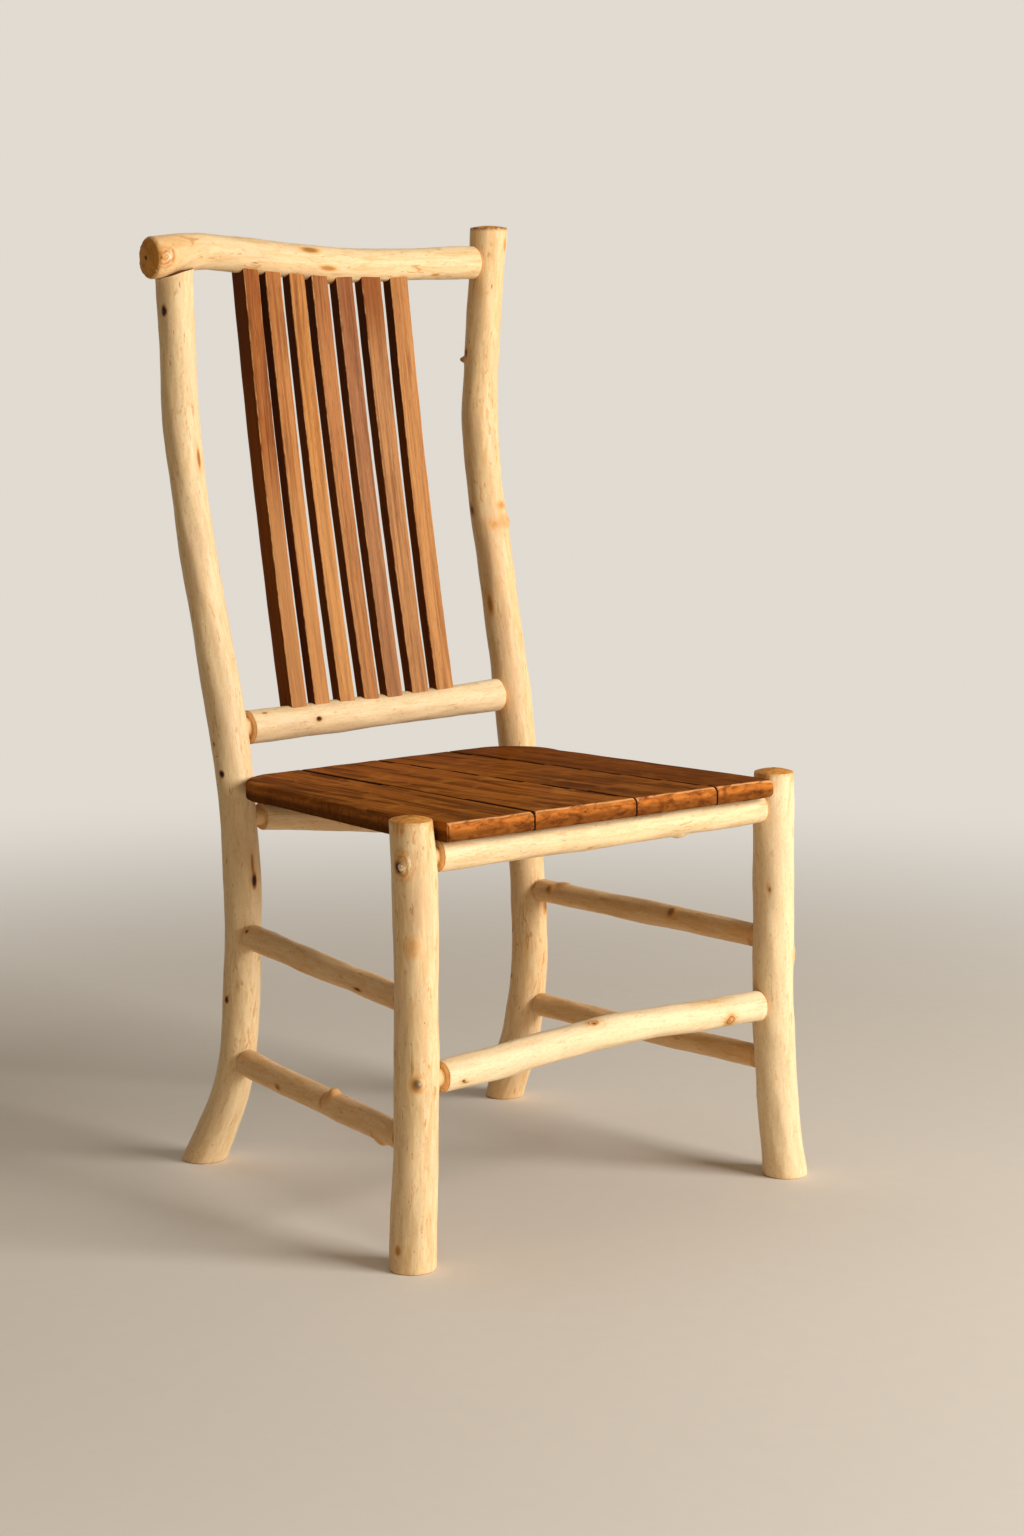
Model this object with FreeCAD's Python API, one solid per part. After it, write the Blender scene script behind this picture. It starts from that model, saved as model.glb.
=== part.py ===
import FreeCAD, Part
import bisect
import math
import os

from FreeCAD import Vector

# The chair stands on z = 0 and faces -Y, with +X to the right of someone looking at its front.
# Lengths are millimetres. A name that ends in shares holds parts of the size beside it.

# The frame: the heights and spreads of the four uprights, measured between their middle lines
seat_height = 457.0
back_height = 1057.0
leg_rise = 3.0
front_spread = 493.0
rear_spread = 413.0
frame_depth = 384.0
back_rake = 102.0
foot_kick = 66.0
crook = 10.0

# The origin lies on the floor, this far right of and behind the middle of the frame
origin_right = 8.0
origin_back = 47.0

# The poles: nominal diameters
front_leg_diameter = 46.0
rear_post_diameter = 42.0
crest_diameter = 40.0
lower_back_diameter = 38.0
front_rail_diameter = 34.0
rear_rail_diameter = 31.0
front_stretcher_diameter = 34.5
upper_side_diameter = 27.5
lower_side_diameter = 28.0
section_step = 38.0

# The rails: nominal heights of their middle lines, from the floor, the top or the seat
crest_drop = 45.0
lower_back_rise = 44.0
rear_rail_drop = 35.0
front_stretcher_height = 200.0
upper_side_height = 272.0
lower_side_height = 128.0
rear_rail_forward = 7.5
crest_overhang = 41.0

# Joints: round tenons in blind mortises, under square shoulders
tenon_depth = 28.0
crest_tenon_diameter = 25.0
back_tenon_diameter = 24.0
rail_tenon_diameter = 20.0
side_tenon_diameter = 18.0
post_tenon_diameter = 24.0
post_tenon_height = 9.0
fit_clearance = 0.15
saddle_clearance = 0.3
mortise_spare = 1.5
tenon_root = 8.0
near_shoulder_gap = 4.0
stretcher_near_gap = 7.0
far_shoulder_gap = 0.6
side_front_gap = 2.5
side_rear_gap = 3.5

# Worn edges
leg_rim = 1.5
post_rim = 1.5
foot_rim = 2.0
crest_rim = 4.5

# The back slats
slat_pitch = 34.0
slat_thickness = 16.0
first_slat_thickness = 26.0
slat_bow = 5.0
slat_foot_forward = 10.0
slat_head_forward = 13.0
slat_seat = 11.0
slat_edge = 1.2
slat_sections = 5

# The seat
seat_thickness = 20.0
seat_drop = 8.0
seat_front_overhang = 29.0
seat_left_inset = 7.0
seat_left_rear_overhang = 10.5
seat_right_rear_inset = 16.5
seat_rear_left = 2.0
seat_rear_right = 16.0
seat_corner_run = 88.0
seat_corner_width = 45.0
seat_front_corner = 7.0
seat_leg_gap = 1.0
notch_depth = 27.0
seat_top_edge = 5.0
seat_under_edge = 3.0
seam_gap = 0.5
seam_groove = 2.4
rail_flat = 0.5

# The batten that ties the boards at the back, and the screws that hold the seat down
batten_width = 33.0
batten_thickness = 17.0
batten_reach = 150.0
batten_rear = 4.0
screw_diameter = 4.0
screw_head_diameter = 8.0
screw_head_height = 3.0
screw_bite = 13.0
screw_recess = 9.0
rear_screw_reach = 140.0
batten_screw_inset = 10.0
overrun = 20.0

# Shapes of the uprights: one row for each height, as shares of the upright's height
upright_height_shares = (0.0, 0.038, 0.076, 0.114, 0.151, 0.189, 0.265, 0.341, 0.416, 0.492, 0.568,
                         0.643, 0.719, 0.795, 0.870, 0.946, 1.0)
foot_kick_shares = (1.0, 0.67, 0.36, 0.17, 0.06, 0, 0, 0, 0, 0, 0, 0, 0, 0, 0, 0, 0)
rake_shares = (0, 0, 0, 0, 0, 0, 0, 0.06, 0.157, 0.314, 0.51, 0.706, 0.892, 1.0, 0.99, 0.96, 0.93)
post_crook_shares = (1.05, 0.55, 0.2, -0.05, -0.1, -0.15, -0.5, -0.75, -0.75, -0.6, -0.35,
                     -0.15, -0.05, 0.15, 0.5, 0.9, 1.0)
left_post_girth_shares = (1.24, 1.16, 1.075, 1.01, 0.985, 0.985, 1.005, 0.985, 1.0, 1.045, 1.025,
                          0.98, 0.98, 0.98, 0.972, 1.0, 1.0)
right_post_girth_shares = (1.13, 1.16, 1.16, 1.085, 1.045, 1.03, 1.0, 1.03, 1.07, 1.075, 1.03,
                           1.04, 1.028, 1.03, 0.995, 0.992, 1.06)
leg_height_shares = (0.0, 0.13, 0.26, 0.39, 0.52, 0.70, 0.87, 1.0)
left_leg_crook_shares = (0.5, 0.1, -0.3, -0.45, -0.45, -0.45, -0.35, 0.1)
right_leg_crook_shares = (2.05, 1.2, 0.55, 0.05, -0.15, -0.25, -0.44, -0.44)
left_leg_kick_shares = (0.4, 0.2, 0, 0, 0, 0, 0, 0)
right_leg_kick_shares = (0.1, 0, 0, 0, 0, 0, 0, 0)
left_leg_girth_shares = (1.085, 1.04, 1.005, 0.985, 1.0, 0.985, 1.01, 0.955)
right_leg_girth_shares = (1.08, 1.025, 0.995, 1.01, 0.99, 0.985, 1.0, 0.94)

# Shapes of the rails: (share of the half spread, rise in shares of the crook, share of the diameter)
crest_shares = ((-1.199, 0.16, 1.15), (-1.133, 0.29, 1.145), (-1.046, 0.65, 1.07), (-0.886, 0.95, 1.02),
                (-0.76, 0.82, 1.0), (-0.504, 0.4, 1.01), (-0.247, 0.02, 0.985), (0.0, -0.34, 0.99),
                (0.29, -0.31, 0.955), (0.567, -0.07, 0.94), (0.852, 0.11, 0.945), (0.97, 0.15, 0.945))
lower_back_shares = ((-1.0, -0.37, 1.02), (-0.5, -0.14, 1.0), (0.0, 0.08, 0.975), (0.5, 0.33, 0.98),
                     (1.0, 0.6, 0.97))
front_rail_shares = ((-1.0, 0, 1.0), (0.0, -0.02, 1.0), (0.5, 0.05, 0.985), (1.0, 0.12, 0.97))
rear_rail_shares = ((-0.872, 0, 1.0), (-0.586, -0.71, 1.0), (-0.324, -1.47, 1.0), (-0.02, -2.27, 1.0),
                    (0.242, -2.25, 0.99), (0.533, -1.2, 0.98), (0.775, -0.35, 0.98), (0.92, -0.05, 0.98))
front_stretcher_shares = ((-0.864, -0.78, 0.96), (-0.592, -0.51, 1.01), (-0.337, 0, 1.0),
                          (-0.077, 0.36, 1.01), (0.12, 0.5, 0.99), (0.329, 0.38, 0.945),
                          (0.61, 0.09, 0.98), (0.9, 0.02, 0.97))

# Shapes of the side stretchers: (share of the half depth, rise in shares of the crook, diameter share)
upper_left_shares = ((-1.0, -0.05, 0.98), (0.0, -0.1, 0.975), (0.6, -0.03, 1.03), (1.0, 0, 1.03))
lower_left_shares = ((-1.0, 0, 0.95), (-0.5, -0.05, 1.03), (0.0, -0.1, 1.02), (0.6, -0.1, 1.05),
                     (1.0, -0.05, 1.06))
upper_right_shares = ((-1.0, 0, 0.95), (-0.5, 0.1, 0.98), (0.0, 0.17, 0.985), (0.6, 0.18, 0.97),
                      (1.0, 0.2, 1.04))
lower_right_shares = ((-1.0, 0.55, 0.93), (-0.5, 0.4, 0.92), (0.0, 0.3, 0.92), (0.6, 0.36, 0.97),
                      (1.0, 0.36, 0.99))

# Places of the slats in shares of the pitch, at the lower rail and at the crest, and their widths
slat_foot_shares = (-3.21, -2.28, -1.27, -0.28, 0.68, 1.75, 2.79)
slat_head_shares = (-3.68, -2.82, -1.89, -0.99, 0.02, 1.12, 2.27)
slat_foot_width_shares = (0.61, 0.60, 0.615, 0.61, 0.65, 0.69, 0.735)
slat_head_width_shares = (0.585, 0.62, 0.61, 0.65, 0.675, 0.80, 0.735)

# Places of the seat's seams, in shares of the half spread in front and behind
seam_front_shares = (-0.462, 0.085, 0.54)
seam_rear_shares = (-0.586, -0.073, 0.436)

front_y = -frame_depth / 2
rear_y = frame_depth / 2
seat_underside = seat_height - seat_thickness
front_leg_height = seat_height + leg_rise
crest_height = back_height - crest_drop
lower_back_height = seat_height + lower_back_rise
rear_rail_height = seat_underside - rear_rail_drop
seat_slope = math.degrees(math.atan2(seat_drop, frame_depth))
up = Vector(0, 0, 1)


def slope(places, values, i):
    """Slope of the smooth curve through a table, at its entry i."""
    low = max(i - 1, 0)
    high = min(i + 1, len(places) - 1)
    return (values[high] - values[low]) / (places[high] - places[low])


def smooth(places, values, at):
    """Value of the smooth curve through a table, between its places."""
    i = min(max(bisect.bisect_right(places, at) - 1, 0), len(places) - 2)
    run = places[i + 1] - places[i]
    t = min(max((at - places[i]) / run, 0), 1)
    start = slope(places, values, i) * run
    finish = slope(places, values, i + 1) * run
    rise = values[i + 1] - values[i]
    return values[i] + t * (start + t * (3 * rise - 2 * start - finish + t * (start + finish - 2 * rise)))


class Pole:
    """A peeled pole: round sections square to one axis, strung on a crooked middle line."""

    def __init__(self, axis, centres, radii):
        self.axis = axis
        self.centres = centres
        self.radii = radii
        self.places = [centre[axis] for centre in centres]
        self.normal = Vector(*[1 if k == axis else 0 for k in range(3)])

    def centre(self, at):
        """Middle of the pole at a place on its axis."""
        point = [smooth(self.places, [centre[k] for centre in self.centres], at) for k in range(3)]
        point[self.axis] = at
        return Vector(*point)

    def radius(self, at):
        """Radius of the pole at a place on its axis."""
        return smooth(self.places, self.radii, at)

    def solid(self, start, end, growth=0.0):
        """The pole between two places, thicker all round by growth."""
        count = math.ceil((end - start) / section_step)
        places = [start + (end - start) * i / count for i in range(count + 1)]
        rings = [Part.makeCircle(self.radius(at) + growth, self.centre(at), self.normal) for at in places]
        return Part.makeLoft([Part.Wire([ring]) for ring in rings], True)


def upright(height, height_shares, x_values, y_values, diameter, girth_shares):
    """A leg or post, from its tables of places and girths."""
    centres = [Vector(x, y, height * share) for share, x, y in zip(height_shares, x_values, y_values)]
    return Pole(2, centres, [diameter / 2 * share for share in girth_shares])


def rear_post(side, girth_shares):
    """A rear post: kicked back at the foot, upright at the seat, raked above it."""
    x_values = [side * (rear_spread / 2 + crook * share) for share in post_crook_shares]
    y_values = [rear_y + foot_kick * kick + back_rake * rake
                for kick, rake in zip(foot_kick_shares, rake_shares)]
    return upright(back_height, upright_height_shares, x_values, y_values, rear_post_diameter, girth_shares)


def front_leg(side, crook_shares, kick_shares, girth_shares):
    """A front leg, nearly straight, spread a little at the foot."""
    x_values = [side * (front_spread / 2 + crook * share) for share in crook_shares]
    y_values = [front_y - crook * share for share in kick_shares]
    return upright(front_leg_height, leg_height_shares, x_values, y_values, front_leg_diameter, girth_shares)


def cross_rail(spread, y, height, diameter, shares):
    """A pole that runs across the chair, with its rise and girth taken from a table."""
    centres = [Vector(spread / 2 * place, y, height + crook * rise) for place, rise, girth in shares]
    return Pole(0, centres, [diameter / 2 * girth for place, rise, girth in shares])


def side_rail(leg, post, height, diameter, shares):
    """A pole that runs from a front leg back to a rear post."""
    start = leg.centre(height)
    finish = post.centre(height)
    centres = [start + (finish - start) * (place + 1) / 2 + up * crook * rise
               for place, rise, girth in shares]
    return Pole(1, centres, [diameter / 2 * girth for place, rise, girth in shares])


def upright_poles():
    """The four uprights by name, before they are sawn and bored."""
    return {
        "rear_post_left": rear_post(-1, left_post_girth_shares),
        "rear_post_right": rear_post(1, right_post_girth_shares),
        "front_leg_left": front_leg(-1, left_leg_crook_shares, left_leg_kick_shares,
                                    left_leg_girth_shares),
        "front_leg_right": front_leg(1, right_leg_crook_shares, right_leg_kick_shares,
                                     right_leg_girth_shares),
    }


def rail_poles(uprights):
    """The rails and stretchers by name, before they are cut to length."""
    post = uprights["rear_post_left"]
    crest_y = post.centre(crest_height).y
    lower_y = post.centre(lower_back_height).y
    rear_rail_y = post.centre(rear_rail_height).y - rear_rail_forward
    front_rail_height = seat_underside - front_rail_diameter / 2 + rail_flat
    rails = {
        "crest_rail": cross_rail(rear_spread, crest_y, crest_height, crest_diameter, crest_shares),
        "lower_back_rail": cross_rail(rear_spread, lower_y, lower_back_height, lower_back_diameter,
                                      lower_back_shares),
        "rear_seat_rail": cross_rail(rear_spread, rear_rail_y, rear_rail_height, rear_rail_diameter,
                                     rear_rail_shares),
        "front_seat_rail": cross_rail(front_spread, front_y, front_rail_height, front_rail_diameter,
                                      front_rail_shares),
        "front_stretcher": cross_rail(front_spread, front_y, front_stretcher_height,
                                      front_stretcher_diameter, front_stretcher_shares),
    }
    sides = (("left", upper_left_shares, lower_left_shares),
             ("right", upper_right_shares, lower_right_shares))
    for side, upper_shares, lower_shares in sides:
        leg = uprights["front_leg_" + side]
        post = uprights["rear_post_" + side]
        rails["side_stretcher_upper_" + side] = side_rail(leg, post, upper_side_height, upper_side_diameter,
                                                          upper_shares)
        rails["side_stretcher_lower_" + side] = side_rail(leg, post, lower_side_height, lower_side_diameter,
                                                          lower_shares)
    return rails


class Joint:
    """One end of a rail: the round tenon, rooted inside the rail, that enters an upright."""

    def __init__(self, rail, shoulder, other, diameter, gap):
        end = rail.centre(shoulder)
        self.way = (end - rail.centre(other)).normalize()
        self.root = end - self.way * tenon_root
        self.radius = diameter / 2
        self.length = tenon_root + gap + tenon_depth

    def tenon(self):
        """The tenon."""
        return Part.makeCylinder(self.radius, self.length, self.root, self.way)

    def mortise(self):
        """The hole that takes the tenon, with its clearances."""
        radius = self.radius + fit_clearance
        return Part.makeCylinder(radius, self.length + mortise_spare, self.root, self.way)


def face(pole, side, rail):
    """Place on a rail's axis where the face of an upright stands, at its low (-1) or high (1) end."""
    near = pole.centre(rail.centre(0).z)[rail.axis]
    height = rail.centre(near).z
    return pole.centre(height)[rail.axis] - side * pole.radius(height)


def rim(shape, axis, place, radius):
    """Round the edge where a pole is sawn off square at a place on an axis."""
    near = []
    for edge in shape.Edges:
        box = edge.BoundBox
        low = (box.XMin, box.YMin, box.ZMin)[axis]
        high = (box.XMax, box.YMax, box.ZMax)[axis]
        if abs(low - place) < radius / 2 and abs(high - place) < radius / 2:
            near.append(edge)
    return shape.makeFillet(radius, near)


def cut_all(shape, tools):
    """A shape with a list of holes cut in it."""
    for tool in tools:
        shape = shape.cut(tool)
    return shape


def tilted(shape):
    """A shape drawn for a level seat, leaned back with the seat."""
    shape.rotate(Vector(0, front_y, seat_height), Vector(1, 0, 0), -seat_slope)
    return shape


def block(low, high):
    """A box between two corners."""
    size = high - low
    return Part.makeBox(size.x, size.y, size.z, low)


def tenoned_rails(poles, mortises):
    """The rails with a tenon at both ends, and their mortises added to the lists of the uprights."""
    gaps = near_shoulder_gap, far_shoulder_gap
    rails = [
        ("lower_back_rail", "rear_post_left", "rear_post_right", back_tenon_diameter, gaps),
        ("rear_seat_rail", "rear_post_left", "rear_post_right", rail_tenon_diameter, gaps),
        ("front_seat_rail", "front_leg_left", "front_leg_right", rail_tenon_diameter, gaps),
        ("front_stretcher", "front_leg_left", "front_leg_right", rail_tenon_diameter,
         (stretcher_near_gap, far_shoulder_gap)),
    ]
    for side in ("left", "right"):
        for level in ("upper", "lower"):
            rails.append(("side_stretcher_" + level + "_" + side, "front_leg_" + side, "rear_post_" + side,
                          side_tenon_diameter, (side_front_gap, side_rear_gap)))
    pieces = {}
    for name, start_name, end_name, diameter, (start_gap, end_gap) in rails:
        rail = poles[name]
        start = face(poles[start_name], -1, rail) + start_gap
        end = face(poles[end_name], 1, rail) - end_gap
        joints = Joint(rail, start, end, diameter, start_gap), Joint(rail, end, start, diameter, end_gap)
        mortises[start_name].append(joints[0].mortise())
        mortises[end_name].append(joints[1].mortise())
        pieces[name] = rail.solid(start, end).fuse(joints[0].tenon()).fuse(joints[1].tenon())
    return pieces


def crest_and_left_post(poles, mortises):
    """The crest rail and the left post, whose saddle and peg carry the crest's lapped end."""
    crest = poles["crest_rail"]
    post = poles["rear_post_left"]
    start = -rear_spread / 2 - crest_overhang
    end = face(poles["rear_post_right"], 1, crest) - far_shoulder_gap
    joint = Joint(crest, end, start, crest_tenon_diameter, far_shoulder_gap)
    mortises["rear_post_right"].append(joint.mortise())
    top = crest.centre(post.centre(crest_height).x)
    peg_root = top - up * crest_diameter
    peg_length = crest_diameter + post_tenon_height
    peg = Part.makeCylinder(post_tenon_diameter / 2, peg_length, peg_root)
    hole_radius = post_tenon_diameter / 2 + fit_clearance
    peg_hole = Part.makeCylinder(hole_radius, peg_length + mortise_spare, peg_root)
    post_body = rim(post.solid(0, top.z), 2, 0, foot_rim).cut(crest.solid(start, 0, saddle_clearance))
    crest_body = rim(crest.solid(start, end), 0, start, crest_rim).fuse(joint.tenon())
    return crest_body.cut(peg_hole), post_body.fuse(peg)


def sawn_upright(pole, height, top_rim):
    """An upright sawn level at the floor and at its top, with both edges rounded."""
    return rim(rim(pole.solid(0, height), 2, 0, foot_rim), 2, height, top_rim)


def slat_ends(i, crest, lower):
    """Where a slat's front face starts in the lower rail and ends in the crest."""
    foot = lower.centre(slat_pitch * slat_foot_shares[i])
    head = crest.centre(slat_pitch * slat_head_shares[i])
    foot_rise = lower.radius(foot.x) - slat_seat
    head_drop = crest.radius(head.x) - slat_seat
    return foot + Vector(0, -slat_foot_forward, foot_rise), head - Vector(0, slat_head_forward, head_drop)


def slat(i, crest, lower, growth=0.0):
    """A slat, square in section with a light bow; grown all round, it cuts its mortises."""
    foot, head = slat_ends(i, crest, lower)
    thickness = first_slat_thickness if i == 0 else slat_thickness
    rings = []
    for k in range(slat_sections):
        share = k / (slat_sections - 1)
        middle = foot + (head - foot) * share
        width_share = slat_foot_width_shares[i] * (1 - share) + slat_head_width_shares[i] * share
        front = middle.y + slat_bow * 4 * share * (1 - share) - growth
        back = front + thickness + 2 * growth
        left = middle.x - slat_pitch * width_share / 2 - growth
        right = middle.x + slat_pitch * width_share / 2 + growth
        z = middle.z + growth * (2 * share - 1)
        corners = (left, front), (right, front), (right, back), (left, back), (left, front)
        rings.append(Part.makePolygon([Vector(x, y, z) for x, y in corners]))
    return Part.makeLoft(rings, True)


def eased_slat(i, crest, lower):
    """A slat with its long edges eased."""
    shape = slat(i, crest, lower)
    long_edges = [edge for edge in shape.Edges if edge.BoundBox.ZLength > lower_back_diameter]
    return shape.makeFillet(slat_edge, long_edges)


def corner_arc(side_point, corner, end_point):
    """A round corner between two points, drawn towards the sharp corner between them."""
    middle = side_point / 4 + corner / 2 + end_point / 4
    return Part.Arc(side_point, middle, end_point).toShape()


def notch_corner(leg):
    """The inner corner of the notch that lets the left leg pass the seat."""
    x = leg.centre(seat_underside).x + leg.radius(seat_underside) + seat_leg_gap
    return Vector(x, front_y + notch_depth, seat_underside)


def seat_outline(leg_left, leg_right):
    """The seat's outline: notched at the left leg, with its other corners rounded."""
    front = front_y - seat_front_overhang
    inner = notch_corner(leg_left)
    right_x = leg_right.centre(seat_underside).x - leg_right.radius(seat_underside) - seat_leg_gap
    left_end = Vector(-rear_spread / 2 - seat_left_rear_overhang, rear_y + seat_rear_left, seat_underside)
    right_end = Vector(rear_spread / 2 - seat_right_rear_inset, rear_y + seat_rear_right, seat_underside)
    left_front = Vector(-front_spread / 2 + seat_left_inset, inner.y, seat_underside)
    right_front = Vector(right_x, front, seat_underside)
    left_side = left_end + (left_front - left_end).normalize() * seat_corner_run
    along_side = (right_end - right_front).normalize()
    right_side = right_end - along_side * seat_corner_run
    along_rear = (right_end - left_end).normalize() * seat_corner_width
    front_end = right_front - Vector(seat_front_corner, 0, 0)
    side_start = right_front + along_side * seat_front_corner
    points = [left_side, left_front, inner, Vector(inner.x, front, seat_underside), front_end]
    edges = [Part.makeLine(a, b) for a, b in zip(points, points[1:])]
    edges.append(corner_arc(front_end, right_front, side_start))
    edges.append(Part.makeLine(side_start, right_side))
    edges.append(corner_arc(right_side, right_end, right_end - along_rear))
    edges.append(Part.makeLine(right_end - along_rear, left_end + along_rear))
    edges.append(corner_arc(left_end + along_rear, left_end, left_side))
    return Part.Wire(edges)


def worn_edges(blank, inner):
    """The blank with its outer edges rounded over, more on top than below, but not in the notch."""
    top = []
    under = []
    for edge in blank.Edges:
        box = edge.BoundBox
        in_notch = box.XMax < inner.x + seat_top_edge and box.YMax < inner.y + seat_top_edge
        if box.ZLength > seat_thickness / 2 or in_notch:
            continue
        if box.ZMin > seat_height - seat_thickness / 2:
            top.append(edge)
        else:
            under.append(edge)
    return blank.makeFillet(seat_top_edge, top).makeFillet(seat_under_edge, under)


def seam(front_share, rear_share):
    """The gap between two boards, with the small groove that shows along its top."""
    front = Vector(front_spread / 2 * front_share, front_y - seat_front_overhang, seat_height)
    rear = Vector(rear_spread / 2 * rear_share, rear_y + seat_rear_right, seat_height)
    ahead = (rear - front).normalize() * overrun
    way = rear - front + ahead * 2
    across = Vector(way.y, -way.x, 0).normalize()
    start = front - ahead
    half_gap = across * seam_gap / 2
    half_groove = across * seam_groove / 2
    slot = [start + half_gap + up * overrun, start - half_gap + up * overrun]
    slot += [point - up * (overrun * 2 + seat_thickness) for point in reversed(slot)]
    groove = [start + half_groove, start - half_groove, start - up * seam_groove / 2]
    tools = [Part.Face(Part.makePolygon(points + points[:1])).extrude(way) for points in (slot, groove)]
    return tools[0].fuse(tools[1])


def boards(leg_left, leg_right):
    """The seat's boards from left to right, cut from one blank."""
    blank = Part.Face(seat_outline(leg_left, leg_right)).extrude(up * seat_thickness)
    blank = worn_edges(blank, notch_corner(leg_left))
    blank = cut_all(blank, [seam(*shares) for shares in zip(seam_front_shares, seam_rear_shares)])
    return [tilted(board) for board in sorted(blank.Solids, key=lambda board: board.CenterOfMass.x)]


def batten(rear_rail):
    """The batten under the boards at the back, hollowed where it bears on the rear rail."""
    back = rear_rail.centre(0).y + batten_rear
    low = Vector(-batten_reach, back - batten_width, seat_underside - batten_thickness)
    high = Vector(batten_reach, back, seat_underside)
    return tilted(block(low, high)).cut(rear_rail.solid(-rear_spread / 2, rear_spread / 2, fit_clearance))


def screw_places(rear_rail):
    """Where the seat's screws stand: (x, y, height of the head's underside, height of the tip)."""
    batten_back = rear_rail.centre(0).y + batten_rear
    places = []
    tip = seat_underside + screw_bite
    rail_head = seat_underside - front_rail_diameter + screw_recess
    edges = (-1.0, *seam_front_shares, 1.0)
    for low, high in zip(edges, edges[1:]):
        places.append((front_spread / 2 * (low + high) / 2, front_y, rail_head, tip))
    batten_head = seat_underside - batten_thickness
    batten_y = batten_back - batten_width + batten_screw_inset
    reach = batten_reach - batten_screw_inset
    middles = [low + high for low, high in zip(seam_rear_shares, seam_rear_shares[1:])]
    for x in (-reach, *[rear_spread / 4 * middle for middle in middles], reach):
        places.append((x, batten_y, batten_head, tip))
    rear_head = rear_rail_height - rear_rail_diameter / 2 + screw_recess
    rear_tip = seat_underside - screw_recess / 2
    for x in (-rear_screw_reach, rear_screw_reach):
        places.append((x, batten_back - batten_screw_inset, rear_head, rear_tip))
    return places


def screw(x, y, head, tip, growth=0.0, drop=0.0):
    """A round-headed wood screw; with growth and drop, the hole that it is driven up through."""
    shank = Part.makeCylinder(screw_diameter / 2 + growth, tip - head + growth, Vector(x, y, head))
    cap_height = screw_head_height + drop + growth
    cap = Part.makeCylinder(screw_head_diameter / 2 + growth, cap_height, Vector(x, y, head - drop))
    return tilted(shank.fuse(cap))


def build():
    """All the pieces by name."""
    uprights = upright_poles()
    poles = {**uprights, **rail_poles(uprights)}
    mortises = {name: [] for name in uprights}
    pieces = tenoned_rails(poles, mortises)
    crest, left_post = crest_and_left_post(poles, mortises)
    sawn = {
        "rear_post_left": left_post,
        "rear_post_right": sawn_upright(poles["rear_post_right"], back_height, post_rim),
        "front_leg_left": sawn_upright(poles["front_leg_left"], front_leg_height, leg_rim),
        "front_leg_right": sawn_upright(poles["front_leg_right"], front_leg_height, leg_rim),
    }
    for name, shape in sawn.items():
        pieces[name] = cut_all(shape, mortises[name])

    back = poles["crest_rail"], poles["lower_back_rail"]
    slots = [slat(i, *back, growth=fit_clearance) for i in range(len(slat_foot_shares))]
    pieces["crest_rail"] = cut_all(crest, slots)
    pieces["lower_back_rail"] = cut_all(pieces["lower_back_rail"], slots)
    for i in range(len(slat_foot_shares)):
        pieces["back_slat_" + str(i + 1)] = eased_slat(i, *back)

    places = screw_places(poles["rear_seat_rail"])
    bores = [screw(*place, growth=fit_clearance, drop=seat_thickness) for place in places]
    above = tilted(block(Vector(-front_spread, front_y - overrun, seat_underside),
                         Vector(front_spread, rear_y + overrun, seat_height + overrun)))
    pieces["front_seat_rail"] = cut_all(pieces["front_seat_rail"], [above] + bores)
    pieces["rear_seat_rail"] = cut_all(pieces["rear_seat_rail"], bores)
    pieces["seat_batten"] = cut_all(batten(poles["rear_seat_rail"]), bores)
    for i, board in enumerate(boards(poles["front_leg_left"], poles["front_leg_right"])):
        pieces["seat_board_" + str(i + 1)] = cut_all(board, bores)
    pieces["seat_screws"] = Part.makeCompound([screw(*place) for place in places])
    return pieces


os.makedirs("parts", exist_ok=True)
for name, shape in build().items():
    shape.translate(Vector(-origin_right, -origin_back, 0))
    shape.exportStep("parts/" + name + ".step")
    print(name, "solids:", len(shape.Solids), "valid:", shape.isValid())
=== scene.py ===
"""The twig chair: a frame of peeled poles, walnut slats and a plank seat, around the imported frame.

The chair stands on the floor and faces -Y, with +X to the right of someone looking at its front.
Shapes are worked out in millimetres from the middle of the chair's frame, and become metres from
the row's origin when a mesh is made.
"""
import bisect
import logging
import math
import random
from dataclasses import dataclass, field
from enum import Enum
from typing import Iterable, Sequence

import bpy
import numpy as np
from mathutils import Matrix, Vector, geometry


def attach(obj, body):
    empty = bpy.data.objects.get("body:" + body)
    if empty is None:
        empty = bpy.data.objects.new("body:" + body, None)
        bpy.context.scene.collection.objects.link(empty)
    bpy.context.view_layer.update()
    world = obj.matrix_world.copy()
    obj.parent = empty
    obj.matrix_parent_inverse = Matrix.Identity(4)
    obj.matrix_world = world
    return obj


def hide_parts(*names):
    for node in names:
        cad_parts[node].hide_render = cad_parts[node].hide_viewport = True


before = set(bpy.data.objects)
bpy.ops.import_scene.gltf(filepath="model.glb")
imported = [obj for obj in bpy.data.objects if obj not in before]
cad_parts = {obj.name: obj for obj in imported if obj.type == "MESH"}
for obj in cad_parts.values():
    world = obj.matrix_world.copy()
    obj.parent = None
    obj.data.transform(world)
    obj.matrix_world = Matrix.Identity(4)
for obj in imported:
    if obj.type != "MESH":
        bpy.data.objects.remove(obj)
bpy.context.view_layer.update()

METRES = 0.001
ORIGIN = np.array((8.0, 47.0, 0.0))
PEELED = "_peeled"

Colour = tuple[int, int, int]
Socket = bpy.types.NodeSocket

log = logging.getLogger("twig_chair")


# Sizes

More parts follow.
